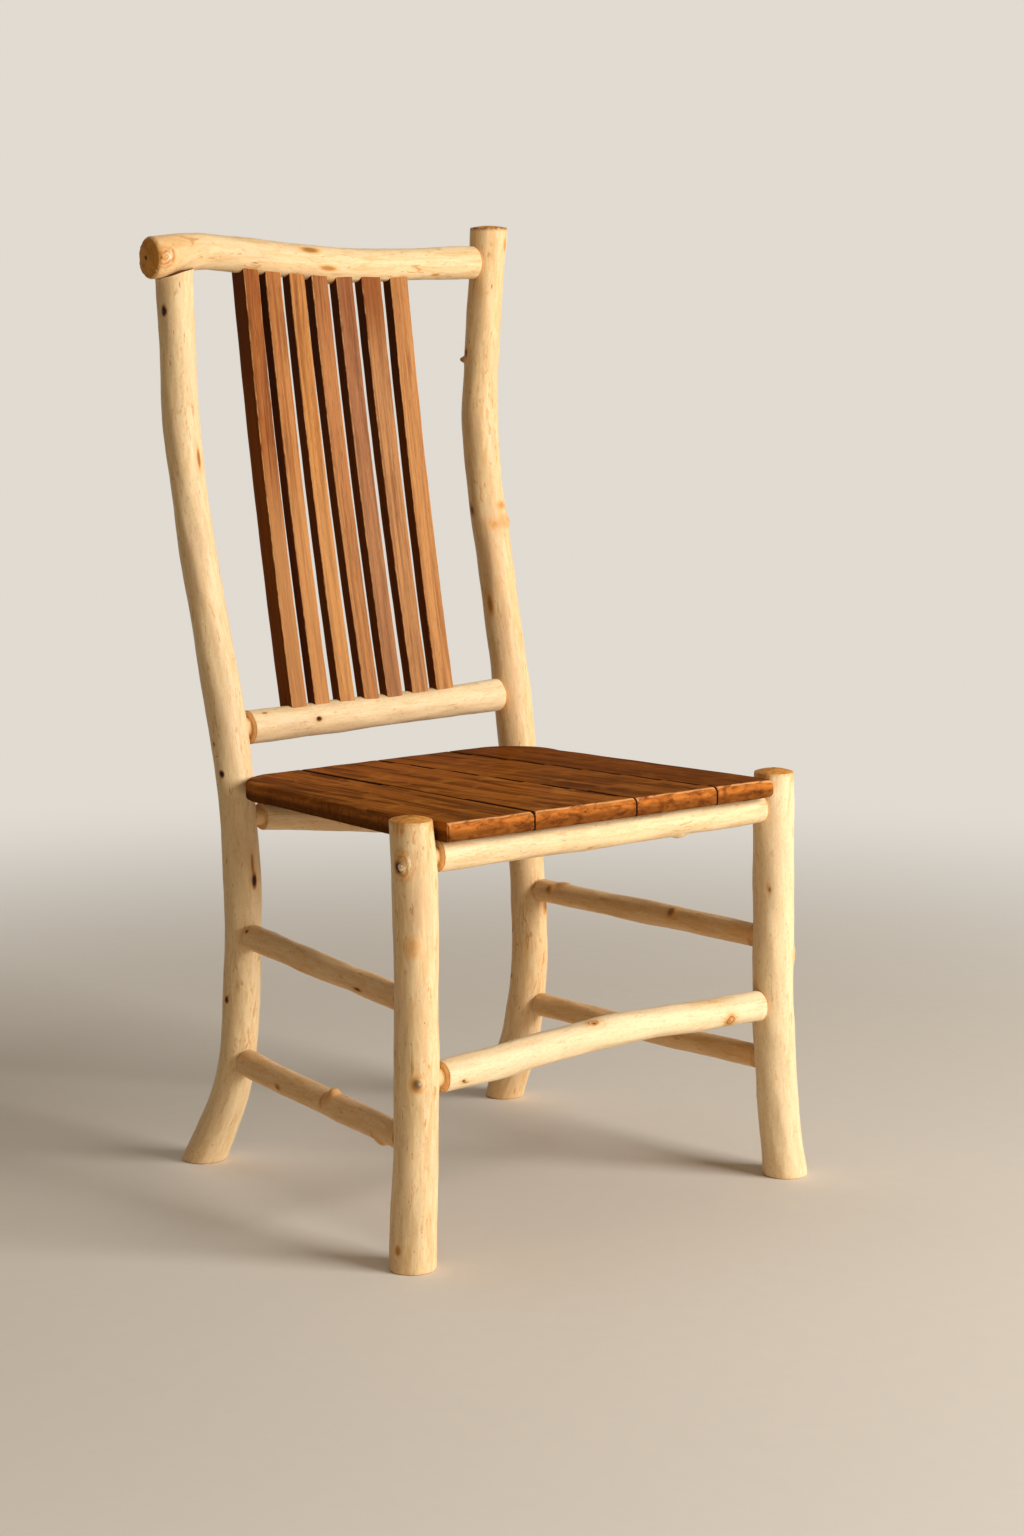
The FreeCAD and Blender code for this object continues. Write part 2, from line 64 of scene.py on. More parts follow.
@dataclass(frozen=True)
class ChairSizes:
    """Sizes of the whole frame."""

    seat_height: float = 457.0
    back_height: float = 1057.0
    leg_height: float = 460.0
    front_spread: float = 493.0
    rear_spread: float = 413.0
    depth: float = 384.0
    rake: float = 102.0
    kick: float = 66.0
    crook: float = 10.0

    @property
    def front(self) -> float:
        """Place of the front legs' middle lines."""
        return -self.depth / 2

    @property
    def rear(self) -> float:
        """Place of the rear posts' middle lines at seat height."""
        return self.depth / 2


SIZES = ChairSizes()


def slope(places: Sequence[float], values: np.ndarray, i: int) -> np.ndarray:
    """Slope of the smooth curve through a table, at one of its entries.

    Args:
        places: Where the entries stand.
        values: The entries, numbers or points.
        i: Which entry.

    Returns:
        The slope there.
    """
    low = max(i - 1, 0)
    high = min(i + 1, len(places) - 1)
    return (values[high] - values[low]) / (places[high] - places[low])


def smooth(places: Sequence[float], values: np.ndarray, at: float) -> np.ndarray:
    """Value of the smooth curve through a table, between its entries.

    Args:
        places: Where the entries stand.
        values: The entries, numbers or points.
        at: The place to read.

    Returns:
        The number or point there.
    """
    i = min(max(bisect.bisect_right(places, at) - 1, 0), len(places) - 2)
    run = places[i + 1] - places[i]
    t = min(max((at - places[i]) / run, 0), 1)
    start = slope(places, values, i) * run
    finish = slope(places, values, i + 1) * run
    rise = values[i + 1] - values[i]
    bend = 3 * rise - 2 * start - finish
    twist = start + finish - 2 * rise
    return values[i] + t * (start + t * (bend + t * twist))


# Poles

@dataclass
class Pole:
    """A crooked pole: round sections square to one axis, strung on a smooth middle line."""

    axis: int
    centres: np.ndarray
    radii: np.ndarray
    places: list[float] = field(init=False)

    def __post_init__(self) -> None:
        """Keep the places of the table's entries."""
        self.places = [float(centre[self.axis]) for centre in self.centres]

    def centre(self, at: float) -> np.ndarray:
        """Middle of the pole at a place on its axis."""
        point = np.array(smooth(self.places, self.centres, at), float)
        point[self.axis] = at
        return point

    def radius(self, at: float) -> float:
        """Radius of the pole at a place on its axis."""
        return float(smooth(self.places, self.radii, at))


@dataclass(frozen=True)
class Mark:
    """A knot, bud, nick or stain on a pole.

    Its place is along the pole's axis and in degrees round it, its lengths are along and round the
    pole, and rise and pit are heights. Heart is how dark its middle is, tint how amber its surround
    (below zero, how pale, which on buds and bumps is a painted highlight), and swirl how plain the
    growth rings round it are.
    """

    at: float
    turn: float
    along: float = 8.0
    around: float = 6.0
    rise: float = 0.0
    pit: float = 0.0
    heart: float = 0.0
    tint: float = 0.5
    swirl: float = 0.0


class EndKind(Enum):
    """How a pole ends."""

    SAWN = "sawn square, its edge rubbed round"
    SHOULDER = "a square shoulder with a round tenon"
    SADDLE = "hollowed to carry the pole that lies across it, with a round peg into it"


class Cut(Enum):
    """What a stretch of a pole's surface shows, as the number that its finish reads."""

    PEELED = 0.0
    SAWN = 1.0
    SHOULDER = 2.0
    TENON = 3.0


@dataclass(frozen=True)
class End:
    """One end of a pole: where it stands, how it is finished and how far its tenon reaches."""

    at: float
    kind: EndKind
    rim: float = 1.0
    tenon: float = 0.0
    reach: float = 12.0
    dome: float = 0.0
    ragged: float = 0.0
    bark: float = 0.0
    carries: "Pole | None" = None


@dataclass(frozen=True)
class Station:
    """One ring of a pole's mesh: its place, how far it is inset, and what it shows."""

    at: float
    inset: float = 0.0
    share: float = 1.0
    fixed: float | None = None
    cut: float = Cut.PEELED.value
    bark: float = 0.0
    ragged: float = 0.0
    lift: float = 0.0
    saddle: "Saddle | None" = None


@dataclass
class Waves:
    """A sum of cosine waves round and along a pole, drawn from a seed."""

    seed: int
    rows: tuple[tuple[int, float, float, float], ...]
    waves: list[tuple[float, int, float, float]] = field(init=False)

    def __post_init__(self) -> None:
        """Draw each wave's length along the pole and its phase."""
        rng = random.Random(self.seed)
        self.waves = []
        for lobes, shortest, longest, size in self.rows:
            length = rng.uniform(shortest, longest) * rng.choice((-1, 1))
            self.waves.append((size, lobes, math.tau / length, rng.uniform(0, math.tau)))

    def height(self, turn: np.ndarray, at: float) -> np.ndarray:
        """Height of the waves at a place along the pole.

        Args:
            turn: Angles round the pole.
            at: Place along the pole.

        Returns:
            One height for each angle.
        """
        return sum(size * np.cos(lobes * turn + pitch * at + phase)
                   for size, lobes, pitch, phase in self.waves)


@dataclass(frozen=True)
class Saddle:
    """The hollow in the top of a post, which follows the underside of the pole that it carries."""

    over: Pole
    base: float
    post: float
    gap: float = 0.9
    ear: float = 2.0
    tilt: float = 0.07

    def underside(self, x: np.ndarray, y: np.ndarray) -> np.ndarray:
        """Height of the hollow at some places.

        Args:
            x: Places along the carried pole.
            y: Places across it.

        Returns:
            One height for each place.
        """
        heights = []
        for along, across in zip(x, y):
            middle = self.over.centre(float(along))
            radius = self.over.radius(float(along))
            drop = math.sqrt(max(radius ** 2 - (across - middle[1]) ** 2, 0.0))
            ear = middle[2] - radius + self.ear + self.tilt * (along - self.post)
            heights.append(min(middle[2] - drop - self.gap, ear))
        return np.array(heights)


class PoleSkin:
    """The mesh of one pole: its peeled surface with knots, and its finished ends."""

    sides = 112
    step = 4.0
    fine_step = 0.8
    cap_shares = (0.93, 0.80, 0.62, 0.40, 0.18)
    rim_angles = (22.5, 45.0, 67.5, 90.0)
    saddle_shares = (0.0, 0.15, 0.3, 0.45, 0.6, 0.75, 0.88, 0.96)
    saddle_rim_shares = (0.86, 0.72, 0.6)
    peel_rows = ((0, 60, 130, 0.24), (0, 25, 45, 0.08), (2, 90, 260, 0.28), (3, 70, 200, 0.22),
                 (4, 60, 160, 0.15), (5, 120, 400, 0.12), (7, 90, 300, 0.09), (9, 90, 300, 0.06))
    chip_rows = ((3, 900, 901, 0.3), (5, 900, 901, 0.3), (8, 900, 901, 0.35), (13, 900, 901, 0.3),
                 (21, 900, 901, 0.25), (34, 900, 901, 0.2))
    chip_range = (-0.8, 1.6)
    lowest = 0.13
    stain = 4.0
    bark_share = 0.78
    near_share = 1.6
    near_more = 2.0
    mark_reach = 3.0
    rise_width = 0.85
    pit_width = 0.5
    tint_width = 1.15
    grain_bend = 0.75
    far = 6.0

    def __init__(self, name: str, pole: Pole, start: End, finish: End, marks: Iterable[Mark] = (),
                 tone: float = 0.0) -> None:
        """Keep what the mesh is built from.

        Args:
            name: Name of the node that the piece stands for.
            pole: Its middle line and girth.
            start: The end at the lower place on its axis.
            finish: The other end.
            marks: Its knots and stains.
            tone: How amber the whole pole is, or below zero how pale.
        """
        self.name = name
        self.pole = pole
        self.ends = (start, finish)
        self.marks = tuple(marks)
        self.tone = tone
        seed = sum(ord(letter) * (i + 3) for i, letter in enumerate(name))
        self.peel = Waves(seed, self.peel_rows)
        self.chips = Waves(seed + 1, self.chip_rows)
        self.turn = np.arange(self.sides) * math.tau / self.sides

    def rim_stations(self, end: End, outward: int, cut: Cut) -> list[Station]:
        """Rings over the rubbed edge of a sawn end.

        Args:
            end: The end.
            outward: -1 at the start of the axis, 1 at its finish.
            cut: What the end's face shows.

        Returns:
            The rings, from the peeled surface to the face.
        """
        rings = []
        for angle in self.rim_angles:
            turn = math.radians(angle)
            place = end.at - outward * end.rim * (1 - math.sin(turn))
            shown = cut.value * (angle / 90) ** (3 if cut is Cut.SHOULDER else 1)
            inset = end.rim * (1 - math.cos(turn))
            rings.append(Station(place, inset=inset, cut=shown, bark=end.bark, ragged=end.ragged))
        return rings

    def end_stations(self, end: End, outward: int) -> list[Station]:
        """Rings of one end, from the peeled surface outward.

        Args:
            end: The end.
            outward: -1 at the start of the axis, 1 at its finish.

        Returns:
            The rings, without the middle point that closes them.
        """
        tenon = Cut.TENON.value
        if end.kind is EndKind.SADDLE:
            post = self.pole.centre(end.at)[0]
            saddle = Saddle(end.carries, end.at - end.carries.radius(post) - end.rim, post)
            sawn = Cut.SAWN.value
            rings = [Station(saddle.base + (end.at - saddle.base) * lift, lift=lift, saddle=saddle)
                     for lift in self.saddle_shares]
            rings.append(Station(end.at, inset=0.4, cut=sawn, bark=1.0, lift=1.0, saddle=saddle))
            for share in self.saddle_rim_shares:
                rings.append(Station(end.at, share=share, cut=sawn, bark=1.2, lift=1.0,
                                     saddle=saddle))
            for fixed in (end.tenon, end.tenon / 2):
                rings.append(Station(end.at, fixed=fixed, cut=tenon))
        elif end.kind is EndKind.SHOULDER:
            rings = self.rim_stations(end, outward, Cut.SHOULDER)
            shoulder = Cut.SHOULDER.value
            inner = end.tenon + (self.pole.radius(end.at) - end.tenon) * 0.5
            steps = ((0.0, inner, shoulder), (0.0, end.tenon, shoulder), (0.05, end.tenon, tenon),
                     (1.0, end.tenon, tenon), (1.0, end.tenon / 2, tenon))
            for share, fixed, cut in steps:
                place = end.at + outward * end.reach * share
                rings.append(Station(place, fixed=fixed, cut=cut))
        else:
            rings = self.rim_stations(end, outward, Cut.SAWN)
            for share in self.cap_shares:
                place = end.at + outward * end.dome * (1 - share ** 2)
                bark = end.bark * max(0.0, (share - self.bark_share) * 4)
                rings.append(Station(place, inset=end.rim, share=share, cut=Cut.SAWN.value,
                                     bark=bark, ragged=end.ragged))
        return rings

    def body_places(self, low: float, high: float) -> list[float]:
        """Places of the rings between the two ends, closer together at the knots.

        Args:
            low: Where the first ring stands.
            high: Where the last one stands.

        Returns:
            The places.
        """
        places = []
        at = low
        while at < high - self.fine_step:
            places.append(at)
            near = any(abs(at - mark.at) < mark.along * self.near_share + self.near_more
                       for mark in self.marks if mark.rise or mark.heart)
            stained = any(abs(at - end.at) < 2 * self.stain + end.rim
                          for end in self.ends if end.bark)
            at += self.fine_step if near or stained else self.step
        return places + [high]

    def stations(self) -> list[Station]:
        """All the rings, from the start of the axis to its finish."""
        start = list(reversed(self.end_stations(self.ends[0], -1)))
        finish = self.end_stations(self.ends[1], 1)
        low = start[-1].at + 0.5
        high = finish[0].at - 0.5
        body = []
        for at in self.body_places(low, high):
            stains = [end.bark * min(max(1 - (abs(at - end.at) - end.rim) / self.stain, 0), 1)
                      for end in self.ends]
            body.append(Station(at, bark=max(stains)))
        return start + body + finish

    def relief(self, at: float, radius: float) -> tuple[np.ndarray, ...]:
        """Height, straightened angle and marks of the surface at one place.

        Args:
            at: Place along the pole.
            radius: Radius there.

        Returns:
            The heights, the angles that the grain follows, the two coordinates and the heart of the
            nearest dark knot, the same with the swirl of the nearest ringed one, and the tint.
        """
        height = self.peel.height(self.turn, at) - self.lowest
        grain_turn = self.turn.copy()
        amber = np.zeros_like(self.turn)
        pale = np.zeros_like(self.turn)
        hearts, swirls = (np.tile((self.far, self.far, 0.0), (self.sides, 1))
                          for _ in range(2))
        for mark in self.marks:
            u = (at - mark.at) / mark.along
            if abs(u) > self.mark_reach:
                continue
            swing = (self.turn - math.radians(mark.turn) + math.pi) % math.tau - math.pi
            v = swing * radius / mark.around
            d = np.hypot(u, v)
            hump = mark.rise * np.exp(-(d / self.rise_width) ** 3)
            height += hump - mark.pit * np.exp(-(d / self.pit_width) ** 4)
            grain_turn = grain_turn - swing * self.grain_bend * np.exp(-d * d)
            # A tint below zero makes a pale spot: on buds and bumps, a painted highlight.
            halo = mark.tint * np.exp(-(d / self.tint_width) ** 3)
            amber = np.maximum(amber, halo)
            pale = np.maximum(pale, -halo)
            for rows, strength in ((hearts, mark.heart), (swirls, mark.swirl)):
                closer = d < np.minimum(np.hypot(rows[:, 0], rows[:, 1]), self.mark_reach)
                closer &= strength > 0
                found = np.stack((np.full_like(v, u), v, np.full_like(v, strength)), axis=1)
                rows[closer] = found[closer]
        tint = amber * (1 - pale) - pale + self.tone * (1 - np.maximum(amber, pale))
        return height, grain_turn, hearts, swirls, np.clip(tint, -1, 1)

    def ring(self, station: Station, height: np.ndarray) -> tuple[np.ndarray, np.ndarray]:
        """Points of one ring.

        Args:
            station: The ring.
            height: Height of the peeled surface above the plain round one, for each angle.

        Returns:
            The points, and their distances from the pole's middle line.
        """
        body = self.pole.radius(station.at)
        if station.fixed is not None:
            radius = np.full_like(self.turn, station.fixed)
        else:
            chips = np.clip(self.chips.height(self.turn, 0.0), *self.chip_range)
            inset = station.inset * (1 + station.ragged * chips)
            radius = (body + height - inset) * station.share
        first, second = [k for k in range(3) if k != self.pole.axis]
        points = np.tile(self.pole.centre(station.at), (self.sides, 1))
        points[:, first] += radius * np.cos(self.turn)
        points[:, second] += radius * np.sin(self.turn)
        if station.saddle is not None:
            hollow = station.saddle.underside(points[:, 0], points[:, 1])
            points[:, 2] = station.saddle.base + (hollow - station.saddle.base) * station.lift
        return points, radius

    def build(self) -> bpy.types.Object:
        """Make the mesh and its object.

        Returns:
            The new object, with no material yet.
        """
        names = ("point", "grain", "mark", "swirl", "tint", "cut", "bark")
        kept = {name: [] for name in names}
        stations = self.stations()
        for station in stations:
            body = self.pole.radius(station.at)
            height, turn, hearts, swirls, tint = self.relief(station.at, body)
            ring, radius = self.ring(station, height)
            along = ring[:, self.pole.axis]
            grain = np.stack((radius * np.cos(turn), radius * np.sin(turn), along), axis=1)
            even = np.ones_like(tint)
            found = (ring, grain, hearts, swirls, tint, even * station.cut, even * station.bark)
            for name, rows in zip(names, found):
                kept[name].append(rows)
        nowhere = np.array([[self.far, self.far, 0.0]])
        for station in (stations[0], stations[-1]):
            middle = (self.pole.centre(station.at)[None, :], np.array([[0.0, 0.0, station.at]]),
                      nowhere, nowhere, np.zeros(1), np.array([station.cut]), np.zeros(1))
            for name, rows in zip(names, middle):
                kept[name].append(rows)
        points = np.concatenate(kept.pop("point"))
        mesh = make_mesh(self.name + PEELED, points, self.faces(len(stations)))
        for name, rows in kept.items():
            store(mesh, name, np.concatenate(rows))
        return make_object(mesh.name, mesh)

    def faces(self, rings: int) -> list[tuple[int, ...]]:
        """Faces between the rings, and the fans that close the two ends.

        Args:
            rings: How many rings there are.

        Returns:
            The faces, each with its corners in order seen from outside.
        """
        count = self.sides
        faces = []
        for i in range(rings - 1):
            for j in range(count):
                k = (j + 1) % count
                low, high = i * count, (i + 1) * count
                faces.append((low + j, low + k, high + k, high + j))
        last = (rings - 1) * count
        start_middle = rings * count
        for j in range(count):
            k = (j + 1) % count
            faces.append((start_middle, k, j))
            faces.append((start_middle + 1, last + j, last + k))
        if self.pole.axis == 1:
            faces = [tuple(reversed(face)) for face in faces]
        return faces


def make_mesh(name: str, points: np.ndarray, faces: list[tuple[int, ...]],
              crease: float = 38.0) -> bpy.types.Mesh:
    """A smooth mesh from points in millimetres.

    Args:
        name: Name of the mesh.
        points: Its points, from the middle of the chair's frame.
        faces: Its faces.
        crease: Edges that turn by more degrees than this stay sharp.

    Returns:
        The mesh, in metres from the row's origin.
    """
    mesh = bpy.data.meshes.new(name)
    mesh.from_pydata(((points - ORIGIN) * METRES).tolist(), [], faces)
    mesh.validate()
    mesh.shade_smooth()
    mesh.set_sharp_from_angle(angle=math.radians(crease))
    return mesh


def store(mesh: bpy.types.Mesh, name: str, values: np.ndarray) -> None:
    """Keep a number or a vector for each point of a mesh, for its finish to read.

    Args:
        mesh: The mesh.
        name: Name of the attribute.
        values: One row for each point.
    """
    kind, key = ("FLOAT_VECTOR", "vector") if values.ndim == 2 else ("FLOAT", "value")
    attribute = mesh.attributes.new(name, kind, "POINT")
    attribute.data.foreach_set(key, values.astype(np.float32).ravel())


def make_object(name: str, mesh: bpy.types.Mesh) -> bpy.types.Object:
    """An object for a mesh, in the scene."""
    piece = bpy.data.objects.new(name, mesh)
    bpy.context.scene.collection.objects.link(piece)
    return piece


def settle(piece: bpy.types.Object, node: str, material: bpy.types.Material) -> None:
    """Give a piece its finish and let it stand for the node of the frame that it dresses.

    Args:
        piece: The piece.
        node: The node that it stands for.
        material: Its finish.
    """
    piece.data.materials.append(material)
    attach(piece, "root")
    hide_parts(node)
    log.info("%s: %d points, for %s", piece.name, len(piece.data.vertices), node)


# Finishes

def linear(colour: Colour) -> tuple[float, float, float, float]:
    """A colour as the eye sees it, 0 to 255, as the linear values that a shader takes."""
    values = [channel / 255 for channel in colour]
    bright = [v / 12.92 if v <= 0.04045 else ((v + 0.055) / 1.055) ** 2.4 for v in values]
    return (*bright, 1.0)


class Wiring:
    """Short ways to wire up the nodes of one material."""

    def __init__(self, name: str) -> None:
        """Start an empty material."""
        self.material = bpy.data.materials.new(name)
        self.material.use_nodes = True
        self.tree = self.material.node_tree
        self.tree.nodes.clear()
        self.output = self.tree.nodes.new("ShaderNodeOutputMaterial")

    def put(self, socket: Socket, value: object) -> None:
        """Link a socket to another one, or set its value."""
        if isinstance(value, bpy.types.NodeSocket):
            self.tree.links.new(value, socket)
        else:
            socket.default_value = value

    def attribute(self, name: str, output: str = "Vector") -> Socket:
        """A value that the mesh keeps for each point."""
        node = self.tree.nodes.new("ShaderNodeAttribute")
        node.attribute_name = name
        return node.outputs[output]

    def scaled(self, vector: Socket, scale: tuple[float, float, float],
               shift: float = 0.0) -> Socket:
        """A vector stretched by a scale on each axis, and shifted so that two patterns differ."""
        node = self.tree.nodes.new("ShaderNodeMapping")
        self.put(node.inputs["Vector"], vector)
        node.inputs["Scale"].default_value = scale
        node.inputs["Location"].default_value = (shift, shift * 1.7, shift * 0.6)
        return node.outputs["Vector"]

    def noise(self, vector: Socket, detail: float = 3.0, rough: float = 0.5,
              warp: float = 0.0) -> Socket:
        """Cloudy noise, 0 to 1, about one cloud for each unit of the vector."""
        node = self.tree.nodes.new("ShaderNodeTexNoise")
        self.put(node.inputs["Vector"], vector)
        for name, number in (("Scale", 1.0), ("Detail", detail), ("Roughness", rough),
                             ("Distortion", warp)):
            node.inputs[name].default_value = number
        return node.outputs["Fac"]

    def sum(self, kind: str, a: object, b: object = 0.0, c: object = 0.0) -> Socket:
        """The result of one Math node."""
        node = self.tree.nodes.new("ShaderNodeMath")
        node.operation = kind
        for socket, value in zip(node.inputs, (a, b, c)):
            self.put(socket, value)
        return node.outputs[0]

    def fade(self, value: Socket, low: float, high: float, first: float = 0.0,
             last: float = 1.0) -> Socket:
        """A smooth step from first to last as a value goes from low to high."""
        node = self.tree.nodes.new("ShaderNodeMapRange")
        node.interpolation_type = "SMOOTHSTEP"
        self.put(node.inputs["Value"], value)
        for name, number in (("From Min", low), ("From Max", high), ("To Min", first),
                             ("To Max", last)):
            node.inputs[name].default_value = number
        return node.outputs["Result"]

    def mix(self, factor: object, a: object, b: object, blend: str = "MIX") -> Socket:
        """Two colours mixed by a factor."""
        node = self.tree.nodes.new("ShaderNodeMix")
        node.data_type = "RGBA"
        node.blend_type = blend
        node.clamp_factor = True
        for place, value in ((0, factor), (6, a), (7, b)):
            self.put(node.inputs[place], value)
        return node.outputs[2]

    def wash(self, under: object, colour: Colour, value: Socket, low: float, high: float,
             most: float = 1.0, least: float = 0.0) -> Socket:
        """A colour laid over another, from least to most as a value goes from low to high."""
        return self.mix(self.fade(value, low, high, least, most), under, linear(colour))

    def parts(self, vector: Socket) -> tuple[Socket, Socket, Socket]:
        """The three numbers of a vector."""
        node = self.tree.nodes.new("ShaderNodeSeparateXYZ")
        self.put(node.inputs[0], vector)
        return tuple(node.outputs)

    def joined(self, x: object, y: object, z: object) -> Socket:
        """A vector of three numbers."""
        node = self.tree.nodes.new("ShaderNodeCombineXYZ")
        for socket, value in zip(node.inputs, (x, y, z)):
            self.put(socket, value)
        return node.outputs[0]

    def length(self, x: Socket, y: Socket) -> Socket:
        """Length of a flat vector."""
        squares = self.sum("MULTIPLY_ADD", x, x, self.sum("MULTIPLY", y, y))
        return self.sum("SQRT", squares)

    def bump(self, height: Socket, strength: float, distance: float) -> Socket:
        """A normal that follows a height; the distance is in metres."""
        node = self.tree.nodes.new("ShaderNodeBump")
        node.inputs["Strength"].default_value = strength
        node.inputs["Distance"].default_value = distance
        self.put(node.inputs["Height"], height)
        return node.outputs["Normal"]

    def finish(self, colour: object, roughness: object, normal: object = None,
               **fixed: float) -> bpy.types.Material:
        """Close the material with its surface.

        Args:
            colour: Base colour.
            roughness: How rough it is.
            normal: The bumped normal, if any.
            **fixed: Other inputs of the surface, with _ for a space in their names.

        Returns:
            The material.
        """
        surface = self.tree.nodes.new("ShaderNodeBsdfPrincipled")
        self.put(surface.inputs["Base Color"], colour)
        self.put(surface.inputs["Roughness"], roughness)
        if normal is not None:
            self.put(surface.inputs["Normal"], normal)
        for name, value in fixed.items():
            surface.inputs[name.replace("_", " ")].default_value = value
        self.tree.links.new(surface.outputs[0], self.output.inputs["Surface"])
        return self.material


@dataclass(frozen=True)
class PeeledPole:
    """Peeled pale wood under a satin finish: cream with honey streaks, ticks and amber knots."""

    name: str = "peeled_pole"
    cream: Colour = (241, 213, 166)
    honey: Colour = (226, 186, 130)
    rose: Colour = (224, 184, 146)
    tan: Colour = (206, 160, 106)
    glow: Colour = (234, 160, 74)
    amber: Colour = (196, 134, 62)
    # Colour of paler poles, also the painted highlight on buds and bumps.
    pale: Colour = (250, 230, 192)
    tick: Colour = (140, 86, 42)
    ring: Colour = (172, 104, 46)
    heart: Colour = (44, 20, 10)
    sawn: Colour = (226, 160, 76)
    sawn_ring: Colour = (180, 114, 46)
    bark: Colour = (98, 54, 22)
    shoulder: Colour = (248, 212, 158)
    shoulder_ring: Colour = (224, 176, 116)
    tenon: Colour = (236, 196, 142)

    def material(self) -> bpy.types.Material:
        """The finish as a material.

        Returns:
            The material, for meshes with grain, mark, swirl, tint, cut and bark kept for each
            point.
        """
        w = Wiring(self.name)
        grain = w.attribute("grain")
        cut = w.attribute("cut", "Fac")
        chips = w.noise(w.scaled(grain, (0.35, 0.35, 0.35), 19.0), 3, 0.6)
        torn = w.sum("MULTIPLY_ADD", w.sum("SUBTRACT", chips, 0.5), 1.1, cut)
        colour = w.mix(w.fade(torn, 0.45, 0.6), self.skin(w, grain), self.end_grain(w, grain))
        colour = w.mix(w.fade(cut, 1.3, 1.7), colour, self.annulus(w, grain))
        colour = w.wash(colour, self.tenon, cut, 2.3, 2.7)
        bark = w.sum("MULTIPLY_ADD", w.sum("SUBTRACT", chips, 0.5), 0.7, w.attribute("bark", "Fac"))
        colour = w.wash(colour, self.amber, bark, 0.12, 0.6, 0.6)
        colour = w.wash(colour, self.bark, bark, 0.5, 0.8, 0.9)
        fibre = w.noise(w.scaled(grain, (0.9, 0.9, 0.045)), 3, 0.6)
        swell = w.noise(w.scaled(grain, (0.10, 0.10, 0.022), 7.0), 2, 0.5)
        height = w.sum("MULTIPLY_ADD", fibre, 0.3, swell)
        height = w.sum("MULTIPLY_ADD", w.sum("MULTIPLY", chips, w.fade(cut, 0.4, 0.9)), 0.8, height)
        roughness = w.fade(fibre, 0.25, 0.8, 0.40, 0.56)
        roughness = w.sum("MULTIPLY_ADD", w.fade(cut, 0.3, 0.8), 0.22, roughness)
        normal = w.bump(height, 0.55, 0.0008)
        return w.finish(colour, roughness, normal, Specular_IOR_Level=0.14, Coat_Weight=0.02,
                        Coat_Roughness=0.25)

    def skin(self, w: Wiring, grain: Socket) -> Socket:
        """Colour of the peeled surface with its knots.

        Args:
            w: The material's wiring.
            grain: Coordinates that follow the pole, in millimetres.

        Returns:
            The colour.
        """
        streak = w.noise(w.scaled(grain, (0.15, 0.15, 0.020)), 4, 0.55, 1.1)
        broad = w.noise(w.scaled(grain, (0.045, 0.045, 0.010), 3.0), 3, 0.55, 0.6)
        fleck = w.noise(w.scaled(grain, (0.38, 0.38, 0.085), 9.0), 3, 0.6, 1.6)
        fibre = w.noise(w.scaled(grain, (1.5, 1.5, 0.07), 33.0), 2, 0.5)
        stroke = w.noise(w.scaled(grain, (0.15, 0.15, 0.040), 21.0), 3, 0.55, 1.2)
        ticks = w.noise(w.scaled(grain, (0.50, 0.50, 0.10), 15.0), 1, 0.4)
        colour = w.wash(linear(self.cream), self.honey, streak, 0.36, 0.70, 0.85)
        colour = w.wash(colour, self.rose, broad, 0.48, 0.72, 0.5)
        colour = w.wash(colour, self.tan, fleck, 0.48, 0.74, 0.44)
        colour = w.wash(colour, self.tan, fibre, 0.52, 0.80, 0.2)
        colour = w.wash(colour, self.amber, stroke, 0.60, 0.71, 0.66)
        colour = w.wash(colour, self.tick, ticks, 0.73, 0.81, 0.75)
        return self.knots(w, grain, colour)

    def knots(self, w: Wiring, grain: Socket, colour: Socket) -> Socket:
        """Colour of the surface once its knots, stains and painted highlights on buds are on it.

        Args:
            w: The material's wiring.
            grain: Coordinates that follow the pole.
            colour: Colour of the plain surface.

        Returns:
            The colour.
        """
        ragged = w.noise(w.scaled(grain, (0.5, 0.5, 0.22), 31.0), 3, 0.65)
        shift = w.sum("SUBTRACT", ragged, 0.5)
        tint = w.sum("MULTIPLY_ADD", shift, 0.5, w.attribute("tint", "Fac"))
        stain = w.wash(linear(self.glow), self.amber, tint, 0.42, 0.80)
        colour = w.mix(w.fade(tint, 0.12, 0.85, 0.0, 0.9), colour, stain)
        # Washed pale where the tint is below zero: on a whole pole its paler tone, on buds and bumps
        # a painted highlight.
        colour = w.wash(colour, self.pale, tint, -0.7, -0.15, 0.0, 0.9)
        along, across, swirl = w.parts(w.attribute("swirl"))
        reach = w.sum("MULTIPLY_ADD", shift, 1.1, w.length(along, across))
        rings = w.fade(w.sum("SINE", w.sum("MULTIPLY", reach, 14.0)), -0.6, 1.0)
        rings = w.sum("MULTIPLY", rings, w.fade(reach, 0.75, 1.25, 1.0, 0.0))
        colour = w.mix(w.sum("MULTIPLY", rings, swirl), colour, linear(self.ring))
        along, across, heart = w.parts(w.attribute("mark"))
        heart = w.sum("MULTIPLY", heart, w.fade(tint, -0.6, -0.25))
        distance = w.sum("MULTIPLY_ADD", shift, 0.5, w.length(along, across))
        collar = w.sum("MULTIPLY", w.fade(distance, 0.55, 0.95, 1.0, 0.0), heart)
        colour = w.mix(w.sum("MULTIPLY", collar, 0.75), colour, linear(self.tick))
        core = w.sum("MULTIPLY", w.fade(distance, 0.42, 0.60, 1.0, 0.0), heart)
        return w.mix(core, colour, linear(self.heart))

